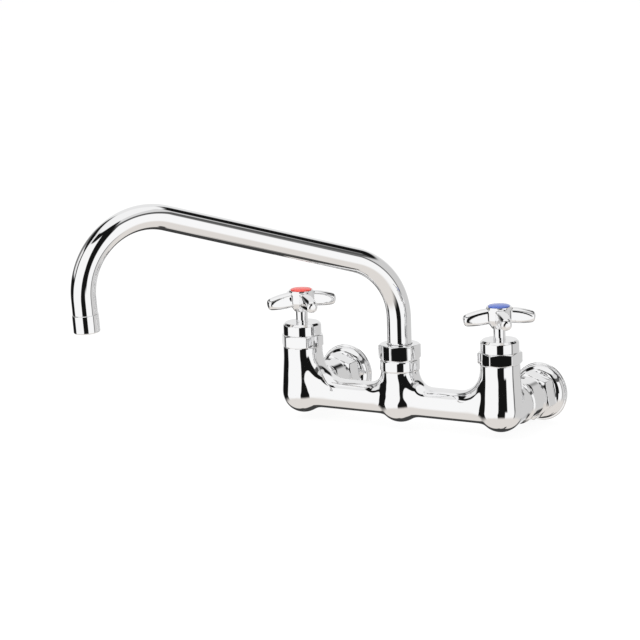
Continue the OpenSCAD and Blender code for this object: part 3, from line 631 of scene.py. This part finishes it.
def add_foot(bm, x, side, sweep):
    """Sweeps a bulb's underside into the bar with a hollow."""
    rise = BAR_R + sweep
    reach = math.sqrt((BULB_R + sweep) ** 2 - rise * rise)
    share = BULB_R / (BULB_R + sweep)
    part = bmesh.new()
    outline = [(0, reach * share)] + hollow_points(rise, reach, sweep, share, steps=12)
    turn_outline(part, outline + [(0, reach)], STEPS)
    place(part, Matrix.Translation((x * MM, 0, 0)) @ Matrix.Rotation(side * math.pi / 2, 4, "Y"))
    join_into(bm, part)


def hollow_points(rise, reach, sweep, share, steps):
    """Points of the hollow from the bulb's touch to the bar's, as (radius, along)."""
    start = math.atan2(reach * share - reach, rise * share - rise)
    end = -math.pi
    angles = [start + (end - start) * i / steps for i in range(steps + 1)]
    return [(rise + sweep * math.cos(a), reach + sweep * math.sin(a)) for a in angles]


def add_boss(bm, x):
    """Adds the boss from a tower towards the wall."""
    part = bmesh.new()
    turn_outline(part, [(0, 0), (BULB_R, 0), (BOSS_R, BOSS_TAPER), (BOSS_R, BOSS_LEN),
                        (0, BOSS_LEN)], STEPS)
    place(part, Matrix.Translation((x * MM, 0, 0)) @ Matrix.Rotation(math.radians(-90), 4, "X"))
    join_into(bm, part)


class FAUCET_OT_body_casting(bpy.types.Operator):
    """Blends the crossbar, towers, column and bosses into one polished casting"""
    bl_idname = "faucet.body_casting"
    bl_label = "Body casting"

    def execute(self, context):
        sizes = context.scene.faucet_sizes
        bm = bmesh.new()
        add_bar(bm)
        add_post(bm, 0, COLUMN_R, COLUMN_TAPER_TOP, COLUMN_TOP + PAST_CUT)
        for side in SIDES:
            x = side * TOWER_X
            add_post(bm, x, TOWER_R, TOWER_TAPER_TOP, TOWER_TOP + PAST_CUT)
            add_corner(bm, x, -side, TOWER_R, TOWER_SWEEP)
            add_foot(bm, x, -side, FOOT_SWEEP)
            add_corner(bm, 0, side, COLUMN_R, COLUMN_SWEEP)
            add_foot(bm, 0, side, FOOT_SWEEP)
            add_boss(bm, x)
        bm = melt_together(bm, sizes.casting_skin, sizes.casting_polish, sizes.casting_hollow)
        between = TOWER_X * MM / 2
        cut_flat(bm, COLUMN_TOP,
                 lambda at: abs(at.x) < between and at.z > (COLUMN_TOP - PAST_CUT) * MM)
        cut_flat(bm, TOWER_TOP,
                 lambda at: abs(at.x) > between and at.z > (TOWER_TOP - PAST_CUT) * MM)
        place(bm, at_column())
        finish_piece("casting", bm, "cast_chrome", BODY, ["body_casting"])
        for side in SIDES:
            self.coupling_end(side, sizes)
        return {"FINISHED"}

    def coupling_end(self, side, sizes):
        """Turns the bead and the threaded stub behind a tower."""
        start, face, end = 27.6, 33.0, 52.0
        outline = [(0, start), (BOSS_R, start), (BOSS_R + 0.3, start + 0.9), (BEAD_R, start + 2.2),
                   (BEAD_R, face - 1.4), (BEAD_R - 1.6, face), (THREAD_TOP_R, face)]
        for k in range(THREAD_TURNS):
            crest = face + 1.2 + k * THREAD_PITCH
            outline += [(THREAD_TOP_R, crest), (THREAD_ROOT_R, crest + THREAD_PITCH / 2)]
        bm = bmesh.new()
        turn_outline(bm, outline + [(THREAD_ROOT_R, end), (0, end)], FINE_STEPS)
        place(bm, to_wall(side))
        finish_piece(SIDES[side] + "_casting_end", bm, "turned_chrome", BODY,
                     ["body_casting"], sizes.corner)


# ---------------------------------------------------------------- valve


class FAUCET_OT_bonnets(bpy.types.Operator):
    """Makes the hexagonal bonnets and the round caps over them"""
    bl_idname = "faucet.bonnets"
    bl_label = "Bonnets and caps"

    def execute(self, context):
        sizes = context.scene.faucet_sizes
        for side in SIDES:
            self.bonnet(side, sizes)
            self.cap(side, sizes)
        return {"FINISHED"}

    def bonnet(self, side, sizes):
        """Turns a disc chamfered at both ends, and draws it in to a hexagon."""
        foot, top = TOWER_TOP, HEX_TOP
        inset = BONNET_FLAT - 0.3
        lift = (BONNET_CORNER - inset) * CHAMFER_SLOPE
        bm = bmesh.new()
        turn_outline(bm, [(0, foot), (inset, foot), (BONNET_CORNER, foot + lift),
                          (BONNET_CORNER, top - lift), (inset, top), (0, top)],
                     HEXAGON_STEPS, cuts=8)
        draw_in_hexagon(bm, foot, top, 2 * BONNET_FLAT, BONNET_TURN[side] + 30,
                        sizes.hexagon_softness, BONNET_CROWN)
        place(bm, at_tower(side))
        finish_piece(SIDES[side] + "_bonnet_hexagon", bm, "turned_chrome", BODY,
                     [SIDES[side] + "_bonnet"])

    def cap(self, side, sizes):
        """Turns the bevelled cap, open inside for the packing."""
        bore = STEM_R + 0.1
        bm = bmesh.new()
        turn_outline(bm, [(bore, HEX_TOP + 3), (bore, CAP_TOP), (CAP_R - CAP_BEVEL, CAP_TOP),
                          (CAP_R, CAP_TOP - CAP_BEVEL), (CAP_R, HEX_TOP), (bore + 4, HEX_TOP),
                          (bore, HEX_TOP + 3)], FINE_STEPS)
        place(bm, at_tower(side))
        finish_piece(SIDES[side] + "_cap", bm, "turned_chrome", BODY,
                     [SIDES[side] + "_bonnet_cap"], sizes.corner)


# ---------------------------------------------------------------- handles


class FAUCET_OT_handles(bpy.types.Operator):
    """Makes the cross handles and their index buttons"""
    bl_idname = "faucet.handles"
    bl_label = "Handles and buttons"

    def execute(self, context):
        sizes = context.scene.faucet_sizes
        for side in SIDES:
            self.handle(side, sizes)
            self.button(side)
        return {"FINISHED"}

    def handle(self, side, sizes):
        """Melts a turned hub and four arms together, and cuts the hub's top flat."""
        bm = bmesh.new()
        hub = bmesh.new()
        turn_outline(hub, [(0, HUB_FOOT), (STEM_R + 1.2, HUB_FOOT), (STEM_R + 3.6, HUB_FOOT + 3.6),
                           (HUB_R - 1.0, ARM_Z - 6.6), (HUB_R - 0.2, ARM_Z - 5.4),
                           (HUB_R, ARM_Z - 4.4), (HUB_R, HUB_TOP + PAST_HUB_CUT),
                           (0, HUB_TOP + PAST_HUB_CUT)], STEPS)
        join_into(bm, hub)
        for quarter in range(4):
            join_into(bm, self.arm(HANDLE_TURN[side] + 90 * quarter, sizes.arm_softness))
        bm = melt_together(bm, sizes.handle_skin, sizes.handle_polish)
        cut_flat(bm, HUB_TOP, lambda at: at.z > (HUB_TOP - PAST_HUB_CUT) * MM)
        place(bm, at_tower(side))
        finish_piece(SIDES[side] + "_cross", bm, "cast_chrome", SIDES[side] + "_valve",
                     [SIDES[side] + "_handle"], sizes.corner)

    def arm(self, turn, softness):
        """Turns a crowned bar, and draws its sides in flat with a flare at the hub."""
        inner = ARM_CROWN - ARM_ROUND
        lean = math.asin((ARM_REACH - ARM_ROUND - ARM_STRAIGHT) / inner)
        end = ARM_HALF_H - ARM_CROWN + inner * math.cos(lean)
        outline = [(0, 0)] + [(ARM_HALF_H, ARM_STRAIGHT * k / 20) for k in range(21)]
        for k in range(1, 13):
            a = lean * k / 12
            outline.append((ARM_HALF_H - ARM_CROWN * (1 - math.cos(a)),
                            ARM_STRAIGHT + ARM_CROWN * math.sin(a)))
        for k in range(1, 9):
            a = lean + (math.pi / 2 - lean) * k / 8
            outline.append((end + ARM_ROUND * math.cos(a),
                            ARM_REACH - ARM_ROUND * (1 - math.sin(a))))
        arm = bmesh.new()
        turn_outline(arm, outline + [(0, ARM_REACH)], steps=72)
        for vert in arm.verts:
            into_flare = min(max(HUB_R - 0.7 - vert.co.z / MM, 0.0), ARM_SWEEP)
            flare = ARM_SWEEP - math.sqrt(ARM_SWEEP ** 2 - into_flare ** 2)
            width = abs(vert.co.y)
            if width:
                vert.co.y *= soft_min(width, (ARM_HALF_W + flare) * MM, softness) / width
        place(arm, Matrix.Rotation(math.radians(turn), 4, "Z")
              @ Matrix.Translation((0, 0, ARM_Z * MM))
              @ Matrix.Rotation(math.radians(90 + ARM_DROOP), 4, "Y"))
        return arm

    def button(self, side):
        """Turns a domed disc with a shallow groove inside its rim."""
        rim, radius = BUTTON_RIM, BUTTON_R
        bm = bmesh.new()
        turn_outline(bm, [(0, rim - 1.7), (radius, rim - 1.7), (radius, rim - 0.1),
                          (radius - 0.5, rim + 0.1), (radius - 1.0, rim - 0.15),
                          (radius - 1.5, rim + 0.12), (6.5, rim + 0.55), (3.2, rim + 0.82),
                          (0, rim + 0.9)], STEPS)
        place(bm, at_tower(side))
        finish_piece(SIDES[side] + "_button", bm, SIDES[side] + "_plastic",
                     SIDES[side] + "_valve",
                     [SIDES[side] + "_index_button"])


# ---------------------------------------------------------------- wall couplings


class FAUCET_OT_couplings(bpy.types.Operator):
    """Makes the coupling nuts and the wall flanges"""
    bl_idname = "faucet.couplings"
    bl_label = "Wall couplings"

    def execute(self, context):
        sizes = context.scene.faucet_sizes
        for side in SIDES:
            self.nut(side, sizes)
            self.flange(side, sizes)
        return {"FINISHED"}

    def nut(self, side, sizes):
        """Turns the nut's round skirt and its hexagon, which is chamfered in front."""
        front, shoulder, back = 33.5, 54.5, FLANGE_FRONT
        bore, seat_bore, skirt = 16.0, 13.0, 18.4
        inset = COUPLING_FLAT - 1.2
        lift = (COUPLING_CORNER - inset) * CHAMFER_SLOPE
        bm = bmesh.new()
        turn_outline(bm, [(bore, front + 2), (bore, front), (skirt - 1.4, front),
                          (skirt - 0.3, front + 0.6), (skirt, front + 1.6), (skirt, shoulder),
                          (inset, shoulder), (COUPLING_CORNER, shoulder + lift),
                          (COUPLING_CORNER, back), (seat_bore, back), (seat_bore, back - 3),
                          (bore, front + 2)], HEXAGON_STEPS, cuts=6)
        draw_in_hexagon(bm, shoulder, back, 2 * COUPLING_FLAT, COUPLING_TURN,
                        sizes.hexagon_softness, COUPLING_CROWN)
        place(bm, to_wall(side))
        finish_piece(SIDES[side] + "_coupling_hexagon", bm, "turned_chrome", BODY,
                     [SIDES[side] + "_coupling_nut"])

    def flange(self, side, sizes):
        """Turns a domed flange, hollow behind and with a flat lip round its rim."""
        front, rim, wall = FLANGE_FRONT, FLANGE_RIM, -TOWER_Y
        bore, face, dome, edge = 12.6, 17.5, 7.6, 26.7
        outline = [(bore, front + 1.2), (bore, front), (face, front)]
        for k in range(1, 10):
            angle = math.radians(10 * k)
            outline.append((face + dome * math.sin(angle),
                            rim - (rim - front) * math.cos(angle)))
        outline += [(edge - 0.8, rim), (edge - 0.2, rim + 0.25), (edge, rim + 0.8), (edge, wall),
                    (edge - 1.6, wall), (edge - 3.1, rim + 0.6), (face + 1.5, front + 2.4),
                    (bore, front + 1.2)]
        bm = bmesh.new()
        turn_outline(bm, outline, steps=144)
        place(bm, to_wall(side))
        finish_piece(SIDES[side] + "_flange", bm, "turned_chrome", BODY,
                     [SIDES[side] + "_wall_flange"], sizes.corner)


# ---------------------------------------------------------------- spout


def spout_path():
    """The run's vector and the tail bend's centre, in the spout's own plane."""
    slope, lean = math.radians(RUN_SLOPE), math.radians(OUTLET_LEAN)
    tail_x = SPOUT_REACH - BEND_R * math.cos(lean) + OUTLET_LEG * math.sin(lean)
    along = Vector((math.cos(slope), 0, math.sin(slope)))
    inwards = Vector((math.sin(slope), 0, -math.cos(slope)))
    run_start = Vector((BEND_R, 0, BEND_START)) - BEND_R * inwards
    length = (tail_x - BEND_R * math.sin(slope) - run_start.x) / math.cos(slope)
    return length * along, run_start + length * along + BEND_R * inwards


def down_outlet():
    """The direction in which the tube's last leg points."""
    lean = math.radians(OUTLET_LEAN)
    return Vector((-math.sin(lean), 0, -math.cos(lean)))


class FAUCET_OT_spout(bpy.types.Operator):
    """Makes the bent tube, its outlet collar and the nut that holds it"""
    bl_idname = "faucet.spout"
    bl_label = "Spout"

    def execute(self, context):
        sizes = context.scene.faucet_sizes
        self.tube()
        self.collar()
        self.nut(sizes.hexagon_softness)
        return {"FINISHED"}

    def tube(self):
        """Sweeps a ring along the path: up, round, along, round and down."""
        run, tail = spout_path()
        bm = bmesh.new()
        made = bmesh.ops.create_circle(bm, cap_ends=False, segments=STEPS, radius=TUBE_R * MM)
        bmesh.ops.translate(bm, verts=made["verts"], vec=(0, 0, TUBE_FOOT * MM))
        ring = bm.edges[:]
        ring = self.push(bm, ring, Vector((0, 0, BEND_START - TUBE_FOOT)), steps=3)
        ring = self.bend(bm, ring, Vector((BEND_R, 0, BEND_START)), 90 - RUN_SLOPE, steps=56)
        ring = self.push(bm, ring, run, steps=8)
        ring = self.bend(bm, ring, tail, 90 + RUN_SLOPE + OUTLET_LEAN, steps=80)
        ring = self.push(bm, ring, (BARE_LEG - RIM_LOOP) * down_outlet(), steps=2)
        self.push(bm, ring, RIM_LOOP * down_outlet(), steps=1)
        place(bm, on_spout())
        tube = finish_piece("spout_pipe", bm, "tube_chrome", SPOUT,
                            ["spout_tube"])
        wall = tube.modifiers.new("Wall", "SOLIDIFY")
        wall.thickness = TUBE_WALL * MM
        wall.offset = -1

    def push(self, bm, ring, path, steps):
        """Draws a ring out along a straight path, and gives the last ring."""
        for _ in range(steps):
            made = bmesh.ops.extrude_edge_only(bm, edges=ring)
            verts = [item for item in made["geom"] if isinstance(item, bmesh.types.BMVert)]
            bmesh.ops.translate(bm, verts=verts, vec=path / steps * MM)
            ring = [item for item in made["geom"] if isinstance(item, bmesh.types.BMEdge)]
            ring = [edge for edge in ring if edge.verts[0] in verts and edge.verts[1] in verts]
        return ring

    def bend(self, bm, ring, centre, degrees, steps):
        """Draws a ring round a centre in the spout's plane, and gives the last ring."""
        verts = {vert for edge in ring for vert in edge.verts}
        made = bmesh.ops.spin(bm, geom=list(verts) + ring, cent=centre * MM, axis=(0, 1, 0),
                              angle=math.radians(degrees), steps=steps, use_duplicate=False)
        return [item for item in made["geom_last"] if isinstance(item, bmesh.types.BMEdge)]

    def at_outlet(self):
        """Stands a piece where the bare tube ends, with Z back up its leg."""
        lean = math.radians(OUTLET_LEAN)
        bend_end = spout_path()[1] + BEND_R * Vector((math.cos(lean), 0, -math.sin(lean)))
        tip = bend_end + BARE_LEG * down_outlet()
        return on_spout() @ Matrix.Translation(tip * MM) @ Matrix.Rotation(lean, 4, "Y")

    def collar(self):
        """Turns the collar, with close loops that keep its wall straight in reflections."""
        outer, bore, throat, ledge, end = COLLAR_R, 9.3, 8.4, -9.0, -COLLAR_LEN
        bm = bmesh.new()
        turn_outline(bm, [(throat, 0), (outer - 0.3, 0), (outer, -0.3), (outer, -0.6),
                          (outer, end + 1.2), (outer, end + 0.9), (outer - 0.35, end + 0.2),
                          (outer - 0.9, end), (bore + 0.3, end), (bore, end + 0.4), (bore, ledge),
                          (throat, ledge), (throat, 0)], FINE_STEPS)
        place(bm, self.at_outlet())
        finish_piece("outlet_ring", bm, "turned_chrome", SPOUT,
                     ["outlet_collar"], COLLAR_EDGE * MM)

    def nut(self, softness):
        """Turns the nut's round skirt and its hexagon, which is chamfered at both ends."""
        foot, shoulder, top = COLUMN_TOP, 38.6, 52.4
        skirt, bore, tube_bore = 18.1, 14.9, 11.7
        flat, corner = SPOUT_NUT_FLAT, SPOUT_NUT_CORNER
        hex_foot, inset = shoulder + 0.3, flat - 0.2
        lift = (corner - inset) * CHAMFER_SLOPE
        bm = bmesh.new()
        turn_outline(bm, [(bore, foot + 1.5), (bore, foot), (skirt - 0.4, foot),
                          (skirt, foot + 0.5), (skirt, shoulder - 0.5), (skirt - 0.5, shoulder),
                          (flat, hex_foot), (corner, hex_foot + lift), (corner, top - lift),
                          (inset, top), (tube_bore, top), (tube_bore, top - 2),
                          (bore, foot + 1.5)], HEXAGON_STEPS, cuts=6)
        draw_in_hexagon(bm, hex_foot, top, 2 * flat, SPOUT_NUT_TURN, softness, SPOUT_NUT_CROWN)
        place(bm, at_column())
        finish_piece("spout_hexagon", bm, "turned_chrome", BODY, ["spout_nut"])


# ---------------------------------------------------------------- studio


class RoomNodes(NodeWiring):
    """Builds the room that polished metal mirrors, from the direction looked in."""

    def __init__(self, world):
        super().__init__(world.node_tree)
        self.tree.nodes.clear()

    def math(self, operation, *values):
        made = self.node("ShaderNodeMath", operation=operation)
        for socket, value in zip(made.inputs, values):
            self.feed(socket, value)
        return made.outputs[0]

    def dot(self, vector, axis):
        made = self.node("ShaderNodeVectorMath", operation="DOT_PRODUCT")
        self.feed(made.inputs[0], vector)
        self.feed(made.inputs[1], axis)
        return made.outputs["Value"]

    def rise(self, value, at, soft):
        """Climbs smoothly from 0 to 1 as the value passes an angle."""
        made = self.node("ShaderNodeMapRange", interpolation_type="SMOOTHSTEP")
        made.inputs["From Min"].default_value = at - soft / 2
        made.inputs["From Max"].default_value = at + soft / 2
        self.feed(made.inputs["Value"], value)
        return made.outputs["Result"]

    def band(self, value, low, high, soft):
        return self.math("SUBTRACT", self.rise(value, low, soft), self.rise(value, high, soft))

    def panel(self, room, across, up, colour):
        """Hangs a soft-edged panel, given (angle, low, high, edge) across and up."""
        return self.mix(self.math("MULTIPLY", self.band(*across), self.band(*up)), room, colour)

    def mix(self, share, first, second):
        """Mixes two colours, through the colour sockets of a mix node."""
        made = self.node("ShaderNodeMix", data_type="RGBA")
        self.feed(made.inputs[0], share)
        self.feed(made.inputs[6], first)
        self.feed(made.inputs[7], second)
        return made.outputs[2]


def grey(level, warmth=0.0):
    """An opaque grey, with less green and less blue as it gets warmer."""
    return (level, level * (1 - warmth * 0.5), level * (1 - warmth), 1)


def away(azimuth, elevation):
    """The direction away from the part, with the azimuth counted from its front."""
    return Vector((math.sin(azimuth) * math.cos(elevation),
                   -math.cos(azimuth) * math.cos(elevation), math.sin(elevation)))


class FAUCET_OT_studio(bpy.types.Operator):
    """Sets up the camera, the pale floor, the soft lamps and the room"""
    bl_idname = "faucet.studio"
    bl_label = "Studio"

    def execute(self, context):
        studio = context.scene.faucet_studio
        self.camera(studio)
        self.floor(studio)
        self.lamps(studio)
        self.room(studio)
        context.scene.view_settings.view_transform = "Standard"
        return {"FINISHED"}

    def camera(self, studio):
        data = bpy.data.cameras.new("Camera")
        data.lens = studio.lens
        data.sensor_width = 36.0
        data.clip_end = 50.0
        camera = add_object("Camera", data)
        back = away(CAMERA_AZIMUTH, CAMERA_ELEVATION)
        right = CAMERA_RIGHT
        up = back.cross(right)
        turned_right = math.cos(CAMERA_ROLL) * right + math.sin(CAMERA_ROLL) * up
        turned_up = math.cos(CAMERA_ROLL) * up - math.sin(CAMERA_ROLL) * right
        turn = Matrix((turned_right, turned_up, back)).transposed().to_4x4()
        camera.matrix_world = Matrix.Translation(CAMERA_TARGET + CAMERA_DISTANCE * back) @ turn
        bpy.context.scene.camera = camera

    def floor(self, studio):
        """A white floor that glows to the camera, shows the shadow and isn't mirrored."""
        bm = bmesh.new()
        bmesh.ops.create_grid(bm, x_segments=1, y_segments=1, size=studio.floor_size / 2)
        bmesh.ops.translate(bm, verts=bm.verts, vec=(0, 0, CAD_BOX[0][2]))
        mesh = mesh_of("studio_floor", bm)
        floor = add_object("studio_floor", mesh)
        paint = bpy.data.materials.new("floor_paint")
        paint.use_nodes = True
        nodes = NodeWiring(paint.node_tree)
        nodes.tree.nodes.clear()
        matt = nodes.node("ShaderNodeBsdfDiffuse")
        matt.inputs["Color"].default_value = grey(FLOOR_TONE)
        glow = nodes.node("ShaderNodeEmission")
        glow.inputs["Strength"].default_value = FLOOR_GLOW
        share = nodes.node("ShaderNodeMath", operation="MULTIPLY")
        share.inputs[1].default_value = studio.floor_glow
        mix = nodes.node("ShaderNodeMixShader")
        nodes.link(nodes.node("ShaderNodeLightPath").outputs["Is Camera Ray"], share.inputs[0])
        nodes.link(share.outputs[0], mix.inputs[0])
        nodes.link(matt.outputs[0], mix.inputs[1])
        nodes.link(glow.outputs[0], mix.inputs[2])
        nodes.link(mix.outputs[0], nodes.node("ShaderNodeOutputMaterial").inputs["Surface"])
        mesh.materials.append(paint)
        floor.visible_glossy = False

    def lamps(self, studio):
        for name, (azimuth, elevation, distance, width, share) in LAMPS.items():
            data = bpy.data.lights.new(name, "AREA")
            data.shape = "DISK"
            data.size = width
            data.energy = studio.lamp_power * share
            lamp = add_object(name, data)
            back = away(math.radians(azimuth), math.radians(elevation))
            lamp.location = LAMPS_AROUND + distance * back
            lamp.rotation_euler = back.to_track_quat("Z", "Y").to_euler()
            lamp.visible_glossy = False

    def room(self, studio):
        """Hangs bright and dark panels round the part, for its polished metal alone."""
        world = bpy.data.worlds.new("studio_room")
        world.use_nodes = True
        bpy.context.scene.world = world
        nodes = RoomNodes(world)
        look = nodes.node("ShaderNodeTexCoord").outputs["Generated"]
        turned = nodes.math("ARCTAN2", nodes.dot(look, CAMERA_RIGHT),
                            nodes.dot(look, away(CAMERA_AZIMUTH, 0)))
        raised = nodes.math("ARCSINE", nodes.dot(look, (0, 0, 1)))
        round_angle = nodes.math("MULTIPLY", turned, math.degrees(1))
        height = nodes.math("MULTIPLY", raised, math.degrees(1))
        # The widest panel leans sideways as it rises, between two limits
        lean = nodes.math("MULTIPLY_ADD", height, 0.55, 6.6)
        lean = nodes.math("MINIMUM", nodes.math("MAXIMUM", lean, -2.0), 12.0)
        leaning = nodes.math("SUBTRACT", round_angle, lean)
        behind = nodes.math("ABSOLUTE", round_angle)
        black, white = grey(0.008), grey(1.0)
        # A bright ceiling over black walls, with each panel covering those before it
        room = nodes.mix(nodes.rise(height, at=53, soft=6), black, grey(0.95))
        for across, up, colour in (
                ((round_angle, -150, -119, 8), (height, 2, 32, 6), grey(0.20)),
                ((round_angle, -119, -96, 4), (height, 5, 30, 5), grey(0.85)),
                ((round_angle, 22, 102, 8), (height, 41, 60, 4), grey(0.72)),
                ((round_angle, 24, 98, 5), (height, 29, 42, 3), grey(0.10)),
                ((round_angle, 68, 154, 12), (height, -44, 29, 6), grey(0.64, 0.01)),
                ((behind, 150, 190, 12), (height, -34, 62, 10), grey(0.84)),
                ((leaning, -96, -20, 3), (height, -40, 46, 4), white),
                ((round_angle, -90, -66, 5), (height, 44, 62, 5), grey(0.85)),
                ((round_angle, -66, 21, 4), (height, 46, 59, 3), black),
                ((round_angle, -142, -86, 4), (height, 31, 49, 4), black),
                ((round_angle, 70, 77, 3), (height, -40, 29, 4), grey(0.12)),
                ((round_angle, 30, 69, 4), (height, -40, 29, 4), white),
                ((round_angle, 18, 69, 4), (height, -40, -9, 4), white)):
            room = nodes.panel(room, across, up, colour)
        room = nodes.mix(nodes.rise(height, at=-31, soft=16), grey(0.77, 0.09), room)
        room = nodes.panel(room, (behind, 143, 190, 8), (height, -80, -25, 6), grey(0.05))
        room = nodes.panel(room, (round_angle, 88, 190, 8), (height, -80, -73, 3), grey(0.06))
        path = nodes.node("ShaderNodeLightPath")
        seen = nodes.mix(path.outputs["Is Glossy Ray"], grey(studio.ambient), room)
        seen = nodes.mix(path.outputs["Is Camera Ray"], seen, white)
        seen = nodes.mix(path.outputs["Is Transmission Ray"], seen, white)
        sky = nodes.node("ShaderNodeBackground")
        out = nodes.node("ShaderNodeOutputWorld")
        nodes.link(seen, sky.inputs["Color"])
        nodes.link(sky.outputs[0], out.inputs["Surface"])


# ---------------------------------------------------------------- panel and registering


class FAUCET_PT_panel(bpy.types.Panel):
    """Lists the faucet's operators and settings"""
    bl_label = "Mixing faucet"
    bl_idname = "FAUCET_PT_panel"
    bl_space_type = "VIEW_3D"
    bl_region_type = "UI"
    bl_category = "Faucet"

    def draw(self, context):
        for operator in OPERATORS:
            self.layout.operator(operator.bl_idname)
        for group in GROUPS:
            settings = getattr(context.scene, group)
            for name in settings.bl_rna.properties.keys():
                if name not in ("rna_type", "name"):
                    self.layout.prop(settings, name)


OPERATORS = (FAUCET_OT_studio, FAUCET_OT_finishes, FAUCET_OT_body_casting, FAUCET_OT_bonnets,
             FAUCET_OT_handles, FAUCET_OT_couplings, FAUCET_OT_spout)
GROUPS = {"faucet_sizes": FaucetSizes, "faucet_finishes": FaucetFinishes,
          "faucet_studio": FaucetStudio}


def register():
    for group, kind in GROUPS.items():
        bpy.utils.register_class(kind)
        setattr(bpy.types.Scene, group, PointerProperty(type=kind))
    for kind in OPERATORS + (FAUCET_PT_panel,):
        bpy.utils.register_class(kind)


def unregister():
    for kind in reversed(OPERATORS + (FAUCET_PT_panel,)):
        bpy.utils.unregister_class(kind)
    for group, kind in GROUPS.items():
        delattr(bpy.types.Scene, group)
        bpy.utils.unregister_class(kind)


def main():
    register()
    for operator in OPERATORS:
        area, _, name = operator.bl_idname.partition(".")
        getattr(getattr(bpy.ops, area), name)()


if __name__ == "__main__":
    main()
